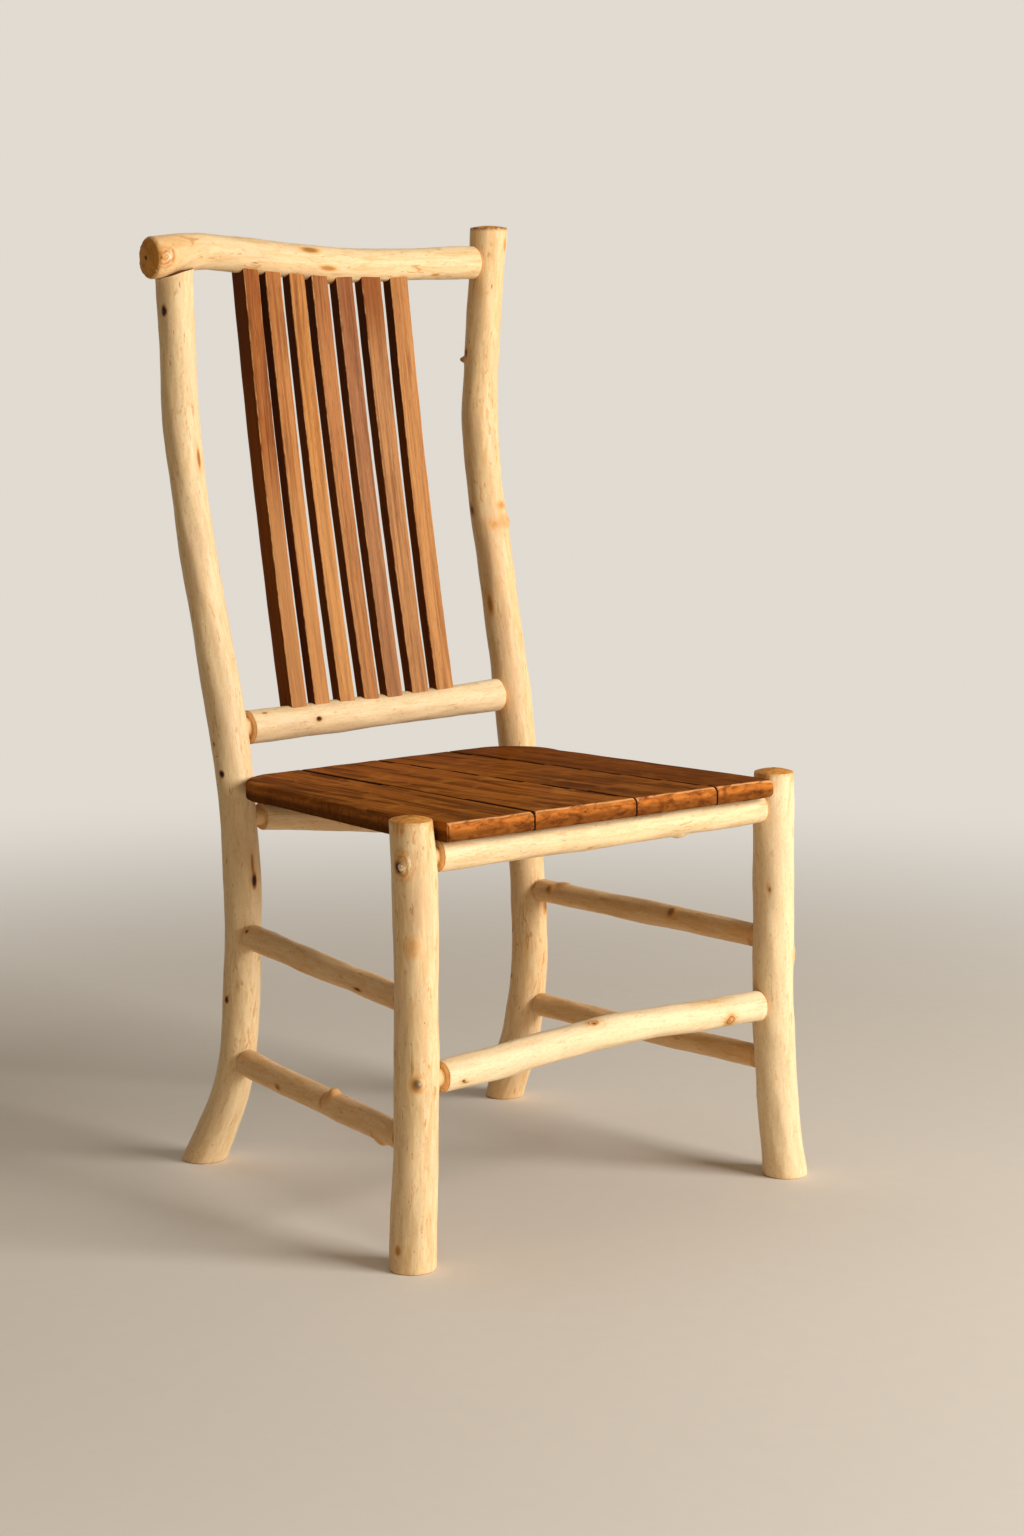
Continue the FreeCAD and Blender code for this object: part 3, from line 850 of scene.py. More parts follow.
    def end_grain(self, w: Wiring, grain: Socket) -> Socket:
        """Colour of a sawn end: growth rings, blotches, a few checks and the pith.

        Args:
            w: The material's wiring.
            grain: Coordinates that follow the pole.

        Returns:
            The colour.
        """
        x, y, _ = w.parts(grain)
        wobble = w.noise(w.scaled(grain, (0.08, 0.08, 0.01), 5.0), 2, 0.5)
        reach = w.sum("MULTIPLY_ADD", wobble, 4.0, w.length(x, y))
        rings = w.sum("SINE", w.sum("MULTIPLY", reach, 2.6))
        colour = w.wash(linear(self.sawn), self.sawn_ring, rings, -0.6, 1.0, 0.45)
        blotch = w.noise(w.scaled(grain, (0.13, 0.13, 0.02), 11.0), 4, 0.65)
        colour = w.wash(colour, self.sawn_ring, blotch, 0.40, 0.66, 0.85)
        turn = w.sum("ARCTAN2", y, x)
        spokes = w.noise(w.joined(w.sum("MULTIPLY", turn, 2.4), 0.0, 0.0), 2, 0.6)
        checks = w.sum("MULTIPLY", w.fade(spokes, 0.66, 0.70), w.fade(reach, 6.0, 13.0, 1.0, 0.0))
        colour = w.mix(w.sum("MULTIPLY", checks, 0.8), colour, linear(self.heart))
        return w.wash(colour, self.heart, reach, 3.7, 4.7, 0.0, 0.9)

    def annulus(self, w: Wiring, grain: Socket) -> Socket:
        """Colour of the square shoulder round a tenon: fresh orange wood with turned rings.

        Args:
            w: The material's wiring.
            grain: Coordinates that follow the pole.

        Returns:
            The colour.
        """
        x, y, _ = w.parts(grain)
        rings = w.sum("SINE", w.sum("MULTIPLY", w.length(x, y), 2.1))
        cloud = w.noise(w.scaled(grain, (0.14, 0.14, 0.14), 43.0), 3, 0.6)
        colour = w.wash(linear(self.shoulder), self.shoulder_ring, rings, 0.0, 1.0, 0.7)
        return w.wash(colour, self.shoulder_ring, cloud, 0.45, 0.7, 0.6)


@dataclass(frozen=True)
class WalnutSlat:
    """Oiled walnut on a sawn slat: streaked faces, dark sides and rubbed edges.

    Foot light is how much paler its foot is, as painted light, and head shade how much browner
    its head is, as painted shade under the crest.
    """

    name: str
    body: Colour
    streak: Colour
    smoke: Colour = (104, 58, 38)
    pore: Colour = (70, 34, 15)
    # Colour of the sides, darker than the faces: partly the wood's own colour, partly painted shade.
    side: Colour = (119, 64, 17)
    # Pale colour of rubbed spots and edges, also used for the painted light on the foot.
    rubbed: Colour = (226, 172, 112)
    head_shade_colour: Colour = (128, 66, 26)
    head_shade: float = 0.0
    foot_light: float = 0.0
    shift: float = 0.0

    def material(self) -> bpy.types.Material:
        """The finish as a material.

        Returns:
            The material, for meshes with grain, side and edge kept for each point.
        """
        w = Wiring(self.name)
        grain = w.attribute("grain")
        side = w.attribute("side", "Fac")
        edge = w.attribute("edge", "Fac")
        bands = w.noise(w.scaled(grain, (0.24, 0.16, 0.0050), self.shift), 4, 0.62, 0.6)
        smoke = w.noise(w.scaled(grain, (0.10, 0.10, 0.0085), self.shift + 17.0), 3, 0.6, 0.8)
        pores = w.noise(w.scaled(grain, (1.5, 1.5, 0.085), self.shift + 29.0), 2, 0.55)
        glint = w.noise(w.scaled(grain, (0.9, 0.9, 0.04), self.shift + 41.0), 2, 0.5)
        colour = w.wash(linear(self.streak), self.body, bands, 0.34, 0.62)
        colour = w.wash(colour, self.smoke, smoke, 0.52, 0.72, 0.45)
        colour = w.wash(colour, self.pore, pores, 0.54, 0.72, 0.4)
        colour = w.wash(colour, self.rubbed, glint, 0.56, 0.78, 0.25)
        _, _, along = w.parts(grain)
        # Painted light: the foot is washed paler.
        colour = w.wash(colour, self.rubbed, along, 180.0, 320.0, 0.0, self.foot_light)
        # Painted shade: the head is darkened under the crest.
        colour = w.wash(colour, self.head_shade_colour, along, 360.0, 470.0, self.head_shade)
        dark = w.wash(linear(self.side), self.pore, bands, 0.40, 0.70, 0.4)
        # The sides also darken towards the head: painted shade under the crest.
        dark = w.mix(w.fade(along, 250.0, 450.0, 0.0, 0.6), dark, linear(self.pore))
        colour = w.mix(w.fade(side, 0.35, 0.65), colour, dark)
        chips = w.noise(w.scaled(grain, (0.4, 0.4, 0.07), self.shift + 53.0), 3, 0.65)
        rub = w.sum("MULTIPLY", w.fade(edge, 0.35, 0.9), w.fade(chips, 0.38, 0.62))
        colour = w.mix(w.sum("MULTIPLY", rub, 0.75), colour, linear(self.rubbed))
        height = w.sum("MULTIPLY_ADD", pores, -0.7, w.sum("MULTIPLY", bands, 0.5))
        roughness = w.fade(pores, 0.3, 0.75, 0.44, 0.62)
        return w.finish(colour, roughness, w.bump(height, 0.55, 0.0005), Specular_IOR_Level=0.02)


@dataclass(frozen=True)
class WalnutPlank:
    """Varnished walnut of one seat board, with a mottled front edge, worn and with a painted
    highlight.
    """

    name: str
    body: Colour = (140, 82, 33)
    gold: Colour = (176, 110, 46)
    shade: Colour = (104, 56, 20)
    deep: Colour = (58, 27, 9)
    gap: Colour = (20, 9, 5)
    edge_dark: Colour = (128, 66, 26)
    edge_light: Colour = (202, 122, 52)
    # Worn colour, also the painted highlight along the front edge's rounded top.
    worn: Colour = (238, 180, 122)
    shift: float = 0.0

    def material(self) -> bpy.types.Material:
        """The finish as a material.

        Returns:
            The material, for meshes with grain, edge, seam and low kept for each point.
        """
        w = Wiring(self.name)
        grain = w.attribute("grain")
        edge = w.attribute("edge", "Fac")
        bands = w.noise(w.scaled(grain, (0.05, 0.0040, 0.05), self.shift), 4, 0.55, 0.9)
        streaks = w.noise(w.scaled(grain, (0.22, 0.0060, 0.2), self.shift + 13.0), 4, 0.55, 0.6)
        pores = w.noise(w.scaled(grain, (1.3, 0.06, 1.3), self.shift + 23.0), 2, 0.55)
        ripple = w.noise(w.scaled(grain, (0.03, 0.02, 0.1), self.shift + 37.0), 3, 0.5, 1.2)
        colour = w.wash(linear(self.shade), self.body, bands, 0.36, 0.62)
        colour = w.wash(colour, self.gold, streaks, 0.44, 0.72, 0.32)
        colour = w.wash(colour, self.deep, pores, 0.53, 0.72, 0.4)
        colour = w.wash(colour, self.gold, ripple, 0.50, 0.72, 0.4)
        mottle = w.noise(w.scaled(grain, (0.05, 0.2, 0.13), self.shift + 47.0), 4, 0.55, 0.9)
        speckle = w.noise(w.scaled(grain, (0.40, 0.5, 0.55), self.shift + 67.0), 3, 0.65)
        blots = w.noise(w.scaled(grain, (0.05, 0.2, 0.13), self.shift + 61.0), 3, 0.6, 0.5)
        front = w.wash(linear(self.edge_dark), self.edge_light, mottle, 0.26, 0.72)
        front = w.wash(front, self.edge_dark, speckle, 0.52, 0.74, 0.3)
        front = w.wash(front, self.deep, blots, 0.54, 0.70, 0.6)
        # The rounded top of the front edge goes towards the worn colour: partly wear, partly a
        # painted highlight.
        edge_wear_and_highlight = w.sum("MULTIPLY", w.fade(edge, 0.25, 0.55), w.fade(edge, 0.80, 0.98, 1.0, 0.0))
        rubbed = w.sum("MULTIPLY", edge_wear_and_highlight, w.fade(mottle, 0.32, 0.56))
        front = w.mix(w.sum("MULTIPLY", rubbed, 0.7), front, linear(self.worn))
        colour = w.mix(w.fade(edge, 0.15, 0.5), colour, front)
        seam = w.attribute("seam", "Fac")
        colour = w.wash(colour, self.gap, seam, 0.08, 0.6, 0.95)
        # Painted shade: the lower part of the walls and the underside are darkened towards the deep
        # colour.
        low = w.attribute("low", "Fac")
        wall_shade = w.sum("MULTIPLY", w.fade(low, 0.3, 1.0), w.fade(edge, 0.3, 0.9, 0.7, 0.6))
        colour = w.mix(wall_shade, colour, linear(self.deep))
        height = w.sum("MULTIPLY_ADD", pores, -0.5, w.sum("MULTIPLY", ripple, 1.2))
        height = w.sum("MULTIPLY_ADD", w.sum("MULTIPLY", speckle, edge), 0.8, height)
        roughness = w.fade(streaks, 0.3, 0.75, 0.30, 0.44)
        roughness = w.sum("MULTIPLY_ADD", edge, 0.08, roughness)
        return w.finish(colour, roughness, w.bump(height, 0.4, 0.0008), Specular_IOR_Level=0.0,
                        Coat_Weight=0.018, Coat_Roughness=0.2)


@dataclass(frozen=True)
class PlainWalnut:
    """Unfinished walnut of the hidden batten."""

    name: str = "batten_walnut"
    body: Colour = (112, 70, 40)
    streak: Colour = (74, 43, 24)

    def material(self) -> bpy.types.Material:
        """The finish as a material."""
        w = Wiring(self.name)
        place = w.tree.nodes.new("ShaderNodeTexCoord").outputs["Object"]
        bands = w.noise(w.scaled(place, (9.0, 170.0, 170.0)), 4, 0.6, 0.4)
        fibre = w.noise(w.scaled(place, (60.0, 900.0, 900.0)), 2, 0.5)
        colour = w.wash(linear(self.streak), self.body, bands, 0.35, 0.7)
        roughness = w.fade(fibre, 0.3, 0.8, 0.55, 0.75)
        return w.finish(colour, roughness, w.bump(fibre, 0.4, 0.0004), Specular_IOR_Level=0.0)


@dataclass(frozen=True)
class ScrewSteel:
    """Zinc-plated steel of the screws under the seat."""

    name: str = "screw_steel"
    bright: Colour = (196, 194, 186)
    dull: Colour = (120, 116, 106)

    def material(self) -> bpy.types.Material:
        """The finish as a material."""
        w = Wiring(self.name)
        place = w.tree.nodes.new("ShaderNodeTexCoord").outputs["Object"]
        haze = w.noise(w.scaled(place, (900.0, 900.0, 300.0)), 3, 0.6)
        colour = w.wash(linear(self.bright), self.dull, haze, 0.35, 0.7)
        roughness = w.fade(haze, 0.3, 0.7, 0.26, 0.42)
        return w.finish(colour, roughness, w.bump(haze, 0.2, 0.0001), Metallic=1.0)


# The frame of poles

UPRIGHT_SHARES = (0.0, 0.038, 0.076, 0.114, 0.151, 0.189, 0.265, 0.341, 0.416, 0.492, 0.568,
                  0.643, 0.719, 0.795, 0.870, 0.946, 1.0)
KICK_SHARES = (1.0, 0.67, 0.36, 0.17, 0.06, 0, 0, 0, 0, 0, 0, 0, 0, 0, 0, 0, 0)
RAKE_SHARES = (0, 0, 0, 0, 0, 0, 0, 0.06, 0.157, 0.314, 0.51, 0.706, 0.892, 1.0, 0.99, 0.96, 0.93)
POST_CROOK_SHARES = (1.05, 0.55, 0.2, -0.05, -0.1, -0.15, -0.5, -0.75, -0.75, -0.6, -0.35,
                     -0.15, -0.05, 0.15, 0.5, 0.9, 1.0)
LEG_SHARES = (0.0, 0.13, 0.26, 0.39, 0.52, 0.70, 0.87, 1.0)


@dataclass
class RearPost:
    """A rear post: kicked back at the foot, upright at the seat and raked above it."""

    name: str
    side: int
    girth: tuple[float, ...]
    marks: tuple[Mark, ...]
    tone: float = 0.0
    diameter: float = 42.0
    foot_rim: float = 2.0

    def pole(self) -> Pole:
        """The post's middle line and girth."""
        x = [self.side * (SIZES.rear_spread / 2 + SIZES.crook * share)
             for share in POST_CROOK_SHARES]
        y = [SIZES.rear + SIZES.kick * kick + SIZES.rake * rake
             for kick, rake in zip(KICK_SHARES, RAKE_SHARES)]
        z = [SIZES.back_height * share for share in UPRIGHT_SHARES]
        return Pole(2, np.stack((x, y, z), axis=1), self.diameter / 2 * np.array(self.girth))

    def build(self, top: End) -> bpy.types.Object:
        """The post's mesh, up to its top end."""
        foot = End(0.0, EndKind.SAWN, rim=self.foot_rim)
        return PoleSkin(self.name, self.pole(), foot, top, self.marks, self.tone).build()


@dataclass
class FrontLeg:
    """A front leg, nearly straight, sawn square above the seat."""

    name: str
    side: int
    crook: tuple[float, ...]
    kick: tuple[float, ...]
    girth: tuple[float, ...]
    marks: tuple[Mark, ...]
    tone: float = 0.0
    diameter: float = 46.0
    foot_rim: float = 2.0
    top_rim: float = 1.8
    dome: float = 3.6
    streak_count: int = 22

    def pole(self) -> Pole:
        """The leg's middle line and girth."""
        x = [self.side * (SIZES.front_spread / 2 + SIZES.crook * share) for share in self.crook]
        y = [SIZES.front - SIZES.crook * share for share in self.kick]
        z = [SIZES.leg_height * share for share in LEG_SHARES]
        return Pole(2, np.stack((x, y, z), axis=1), self.diameter / 2 * np.array(self.girth))

    def streaks(self) -> tuple[Mark, ...]:
        """Brown streaks that run down from the sawn top."""
        rng = random.Random(self.side)
        return tuple(Mark(SIZES.leg_height - rng.uniform(2, 9), rng.uniform(0, 360),
                          rng.uniform(4, 10), rng.uniform(1.2, 3.2), tint=rng.uniform(0.5, 0.95))
                     for _ in range(self.streak_count))

    def build(self) -> bpy.types.Object:
        """The leg's mesh."""
        foot = End(0.0, EndKind.SAWN, rim=self.foot_rim)
        top = End(SIZES.leg_height, EndKind.SAWN, rim=self.top_rim, dome=self.dome, ragged=0.5,
                  bark=0.42)
        marks = self.marks + self.streaks()
        return PoleSkin(self.name, self.pole(), foot, top, marks, self.tone).build()


@dataclass
class CrossRail:
    """A rail that runs across the chair; its table holds place, rise and girth shares."""

    name: str
    spread: float
    y: float
    height: float
    diameter: float
    table: tuple[tuple[float, float, float], ...]
    marks: tuple[Mark, ...] = ()
    tone: float = 0.0
    tenon: float = 20.0
    near_gap: float = 4.0
    far_gap: float = 0.6

    def pole(self) -> Pole:
        """The rail's middle line and girth."""
        centres = [(self.spread / 2 * place, self.y, self.height + SIZES.crook * rise)
                   for place, rise, _ in self.table]
        return strung(0, centres, self.diameter, self.table)

    def build(self, left: Pole, right: Pole) -> bpy.types.Object:
        """The rail's mesh, between the uprights that it is tenoned into."""
        rail, tenon = self.pole(), self.tenon / 2
        near, far = face(left, -1, rail) + self.near_gap, face(right, 1, rail) - self.far_gap
        start = End(near, EndKind.SHOULDER, rim=1.2, tenon=tenon)
        finish = End(far, EndKind.SHOULDER, rim=0.8, tenon=tenon)
        return PoleSkin(self.name, rail, start, finish, self.marks, self.tone).build()


@dataclass
class SideStretcher:
    """A stretcher from a front leg back to a rear post."""

    name: str
    height: float
    diameter: float
    table: tuple[tuple[float, float, float], ...]
    marks: tuple[Mark, ...] = ()
    tone: float = 0.40
    tenon: float = 18.0
    front_gap: float = 2.5
    rear_gap: float = 3.5

    def pole(self, leg: Pole, post: Pole) -> Pole:
        """The stretcher's middle line and girth."""
        start, finish = leg.centre(self.height), post.centre(self.height)
        lift = np.array((0.0, 0.0, SIZES.crook))
        centres = [start + (finish - start) * (place + 1) / 2 + lift * rise
                   for place, rise, _ in self.table]
        return strung(1, centres, self.diameter, self.table)

    def build(self, leg: Pole, post: Pole) -> bpy.types.Object:
        """The stretcher's mesh, from its front shoulder to its rear one."""
        rail, tenon = self.pole(leg, post), self.tenon / 2
        front, rear = face(leg, -1, rail) + self.front_gap, face(post, 1, rail) - self.rear_gap
        start = End(front, EndKind.SHOULDER, rim=1.0, tenon=tenon)
        finish = End(rear, EndKind.SHOULDER, rim=1.0, tenon=tenon)
        return PoleSkin(self.name, rail, start, finish, self.marks, self.tone).build()


def strung(axis: int, centres: Sequence[Sequence[float]], diameter: float,
           table: Sequence[tuple[float, float, float]]) -> Pole:
    """A rail's pole, through some middles.

    Args:
        axis: The axis that it runs along.
        centres: Its middles.
        diameter: Its usual thickness.
        table: Place, rise and girth share at each middle.

    Returns:
        The pole.
    """
    return Pole(axis, np.array(centres), diameter / 2 * np.array([girth for _, _, girth in table]))


def face(pole: Pole, side: int, rail: Pole) -> float:
    """Place on a rail's axis where the face of an upright stands.

    Args:
        pole: The upright.
        side: -1 at the low end of the rail, 1 at its high end.
        rail: The rail.

    Returns:
        The place.
    """
    near = pole.centre(rail.centre(0.0)[2])[rail.axis]
    height = rail.centre(near)[2]
    return pole.centre(height)[rail.axis] - side * pole.radius(height)


LEFT_POST = RearPost(
    "rear_post_left", -1,
    (1.24, 1.16, 1.075, 1.01, 0.985, 0.985, 1.005, 0.985, 1.0, 1.045, 1.025, 0.98, 0.98, 0.98,
     0.972, 1.0, 1.0),
    (Mark(957, 200, 9, 6, rise=0.4, pit=1.0, heart=1.0, tint=0.5),
     Mark(795, 288, 14, 3.5, pit=0.4, heart=0.25, tint=0.95),
     Mark(452, 200, 6.5, 5, rise=0.6, pit=1.0, heart=1.0, tint=0.55),
     Mark(484, 184, 4, 3, heart=0.45, tint=0.5),
     Mark(334, 278, 12, 5, rise=0.6, heart=1.0, tint=0.9),
     Mark(352, 274, 16, 2.6, heart=0.25, tint=0.95),
     Mark(200, 184, 6, 5, rise=0.5, heart=0.95, tint=0.8),
     Mark(700, 40, 9, 6, rise=0.8, heart=0.9, tint=0.7),
     Mark(300, 70, 8, 6, rise=0.7, pit=0.6, heart=0.8, tint=0.8)), tone=-0.28)

RIGHT_POST = RearPost(
    "rear_post_right", 1,
    (1.13, 1.16, 1.16, 1.085, 1.045, 1.03, 1.0, 1.03, 1.07, 1.075, 1.03, 1.04, 1.028, 1.03,
     0.995, 0.992, 1.06),
    (Mark(908, 172, 6, 3.5, rise=0.9, pit=0.5, heart=0.8, tint=0.95),
     Mark(900, 148, 4, 4, rise=5.0, heart=0.4, tint=0.9),
     Mark(722, 170, 8, 6, rise=-0.8, heart=0.8, tint=0.9),
     Mark(710, 296, 9, 9, rise=3.0, tint=0.4),
     Mark(728, 288, 5, 9, rise=-0.5, tint=0.6),
     Mark(706, 250, 6, 10, tint=0.45),
     Mark(612, 196, 12, 4, heart=0.25, tint=0.9),
     Mark(222, 152, 5, 3, pit=0.6, heart=0.6, tint=0.7),
     Mark(254, 300, 11, 6, rise=0.8, pit=0.7, heart=0.4, tint=0.8),
     Mark(166, 164, 4, 3, pit=0.5, heart=0.6, tint=0.6),
     Mark(1035, 300, 8, 3, tint=0.8),
     Mark(830, 60, 9, 7, rise=0.8, heart=0.9, tint=0.6),
     Mark(400, 330, 9, 5, rise=0.6, heart=0.7, tint=0.7)), tone=0.26)

LEFT_LEG = FrontLeg(
    "front_leg_left", -1,
    (0.5, 0.1, -0.3, -0.45, -0.45, -0.45, -0.35, 0.1), (0.4, 0.2, 0, 0, 0, 0, 0, 0),
    (1.085, 1.04, 1.005, 0.985, 1.0, 0.985, 1.01, 0.955),
    (Mark(417, 206, 17, 11, rise=0.9, tint=0.66, swirl=0.5),
     Mark(415, 194, 9.5, 8.0, pit=0.7, heart=1.0, tint=0.9),
     # Tints below zero paint pale spots: a painted highlight on this knot's bud and on the bead
     # lower down.
     Mark(415, 201, 4.8, 4.2, rise=2.0, tint=-0.95),
     Mark(420, 224, 6, 1.6, tint=-0.9),
     Mark(195, 236, 10, 8.0, rise=0.5, heart=0.4, tint=0.85),
     Mark(196, 241, 4.4, 4.2, rise=2.4, tint=-0.66),
     Mark(24, 194, 6, 4.5, rise=-0.4, heart=0.12, tint=0.8),
     Mark(334, 226, 14, 10, rise=0.3, tint=0.55),
     Mark(120, 60, 9, 7, rise=1.0, heart=0.8, tint=0.7)))

RIGHT_LEG = FrontLeg(
    "front_leg_right", 1,
    (2.05, 1.2, 0.55, 0.05, -0.15, -0.25, -0.44, -0.44), (0.1, 0, 0, 0, 0, 0, 0, 0),
    (1.08, 1.025, 0.995, 1.01, 0.99, 0.985, 1.0, 0.94),
    (Mark(254, 318, 10, 8, rise=1.6, heart=0.3, tint=0.5),
     Mark(332, 216, 5, 2.5, heart=0.4, tint=0.7),
     Mark(90, 120, 9, 6, rise=0.9, heart=0.8, tint=0.7)), tone=-0.36)

CREST_TABLE = ((-1.199, 0.16, 1.15), (-1.133, 0.29, 1.145), (-1.046, 0.65, 1.07),
               (-0.886, 0.95, 1.02), (-0.76, 0.82, 1.0), (-0.504, 0.4, 1.01),
               (-0.247, 0.02, 0.985), (0.0, -0.34, 0.99), (0.29, -0.31, 0.955),
               (0.567, -0.07, 0.94), (0.852, 0.11, 0.945), (0.97, 0.15, 0.945))
LOWER_BACK_TABLE = ((-1.0, -0.37, 1.02), (-0.5, -0.14, 1.0), (0.0, 0.08, 0.975), (0.5, 0.33, 0.98),
                    (1.0, 0.6, 0.97))
FRONT_RAIL_TABLE = ((-1.0, 0, 1.0), (0.0, -0.02, 1.0), (0.5, 0.05, 0.985), (1.0, 0.12, 0.97))
REAR_RAIL_TABLE = ((-0.872, 0, 1.0), (-0.586, -0.71, 1.0), (-0.324, -1.47, 1.0),
                   (-0.02, -2.27, 1.0), (0.242, -2.25, 0.99), (0.533, -1.2, 0.98),
                   (0.775, -0.35, 0.98), (0.92, -0.05, 0.98))
FRONT_STRETCHER_TABLE = ((-0.864, -0.78, 0.96), (-0.592, -0.51, 1.01), (-0.337, 0, 1.0),
                         (-0.077, 0.36, 1.01), (0.12, 0.5, 0.99), (0.329, 0.38, 0.945),
                         (0.61, 0.09, 0.98), (0.9, 0.02, 0.97))
UPPER_LEFT_TABLE = ((-1.0, -0.05, 0.98), (0.0, -0.1, 0.975), (0.6, -0.03, 1.03), (1.0, 0, 1.03))
LOWER_LEFT_TABLE = ((-1.0, 0, 0.95), (-0.5, -0.05, 1.03), (0.0, -0.1, 1.02), (0.6, -0.1, 1.05),
                    (1.0, -0.05, 1.06))
UPPER_RIGHT_TABLE = ((-1.0, 0, 0.95), (-0.5, 0.1, 0.98), (0.0, 0.17, 0.985), (0.6, 0.18, 0.97),
                     (1.0, 0.2, 1.04))
LOWER_RIGHT_TABLE = ((-1.0, 0.55, 0.93), (-0.5, 0.4, 0.92), (0.0, 0.3, 0.92), (0.6, 0.36, 0.97),
                     (1.0, 0.36, 0.99))

CREST_MARKS = (
    Mark(-240.5, 180, 13, 12, rise=1.2, tint=0.62, swirl=0.6),
    # A painted highlight on the knot's bud.
    Mark(-235, 177, 3.2, 3.4, rise=0.9, tint=-0.9),
    Mark(-230.5, 180, 2.4, 8.0, tint=0.95),
    Mark(-246, 180, 2.6, 3, pit=0.5, heart=0.8, tint=0.8),
    Mark(-240, 150, 44, 60, tint=0.42),
    Mark(-47, 140, 15, 5, rise=0.5, heart=0.3, tint=0.85),
    Mark(-25, 196, 13, 4, heart=0.15, tint=0.8),
    Mark(130, 224, 7, 3, tint=0.8),
    Mark(-9, 262, 18, 11, rise=1.5, tint=0.8),
    Mark(70, 20, 9, 7, rise=0.8, heart=0.8, tint=0.7),
)
LOWER_BACK_MARKS = (
    Mark(-90, 172, 5.5, 4.5, rise=0.4, pit=0.8, heart=1.0, tint=0.75),
    Mark(-158, 124, 5, 2.2, heart=0.5, tint=0.7),
    Mark(-10, 250, 12, 5, tint=0.6),
    Mark(60, 10, 9, 6, rise=0.7, heart=0.8, tint=0.6),
)
REAR_RAIL_MARKS = (
    Mark(-60, 190, 7, 5, rise=0.6, heart=0.7, tint=0.7),
)
FRONT_RAIL_MARKS = (
    Mark(103, 262, 9, 8, rise=2.6, tint=0.6),
    Mark(-26, 232, 6, 2.5, tint=0.8),
)
FRONT_STRETCHER_MARKS = (
    Mark(-18, 116, 10, 6, rise=1.0, pit=0.5, tint=0.8, swirl=0.5),
    Mark(-18, 120, 4, 2.4, heart=0.5, tint=0.8),
    Mark(168, 200, 7.5, 8, rise=0.8, pit=0.3, tint=1.0, swirl=1.0),
    # A painted highlight on the knot's raised middle.
    Mark(168, 200, 2.0, 2.4, rise=0.5, tint=-0.6),
    Mark(150, 110, 24, 5, tint=0.55),
    Mark(-195, 196, 3.6, 2.2, pit=0.6, heart=0.7, tint=0.6),
    Mark(-192, 204, 5, 1.4, heart=0.4, tint=0.6),
)
UPPER_LEFT_MARKS = (
    Mark(162, 140, 4, 3, rise=0.5, heart=0.9, tint=0.5),
    Mark(-93, 192, 9, 2.2, pit=0.7, heart=0.8, tint=0.8),
)
LOWER_LEFT_MARKS = (
    Mark(-27, 98, 6.5, 6.5, rise=5.5, tint=0.3),
    Mark(-18, 106, 3.4, 3.4, rise=-0.5, heart=0.4, tint=0.9),
    Mark(-24, 128, 9, 9, rise=1.6, tint=0.5),
    Mark(-16, 146, 3.5, 9, rise=-0.5, tint=0.8),
    Mark(-131, 240, 10, 9, rise=3.4, tint=0.5),
    Mark(-124, 222, 3, 7, rise=-0.6, heart=0.3, tint=0.9),
    # A painted highlight on the swelling below.
    Mark(-130, 226, 3.4, 2.5, tint=-0.8),
    Mark(80, 190, 6, 4, rise=0.4, heart=0.4, tint=0.7),
)
UPPER_RIGHT_MARKS = (
    Mark(142, 150, 6, 6, rise=2.0, heart=0.3, tint=0.7),
    Mark(130, 90, 9, 9, rise=1.6, tint=0.4),
    Mark(-51, 140, 7, 8, rise=2.0, heart=0.4, tint=0.6),
)
LOWER_RIGHT_MARKS = (
    Mark(30, 20, 7, 6, rise=0.8, heart=0.5, tint=0.7),
)

STRETCHERS = tuple(
    (side, SideStretcher(f"side_stretcher_{level}_{side}", height, diameter, table, marks))
    for level, side, height, diameter, table, marks in (
        ("upper", "left", 272.0, 27.5, UPPER_LEFT_TABLE, UPPER_LEFT_MARKS),
        ("lower", "left", 128.0, 28.0, LOWER_LEFT_TABLE, LOWER_LEFT_MARKS),
        ("upper", "right", 272.0, 27.5, UPPER_RIGHT_TABLE, UPPER_RIGHT_MARKS),
        ("lower", "right", 128.0, 28.0, LOWER_RIGHT_TABLE, LOWER_RIGHT_MARKS)))


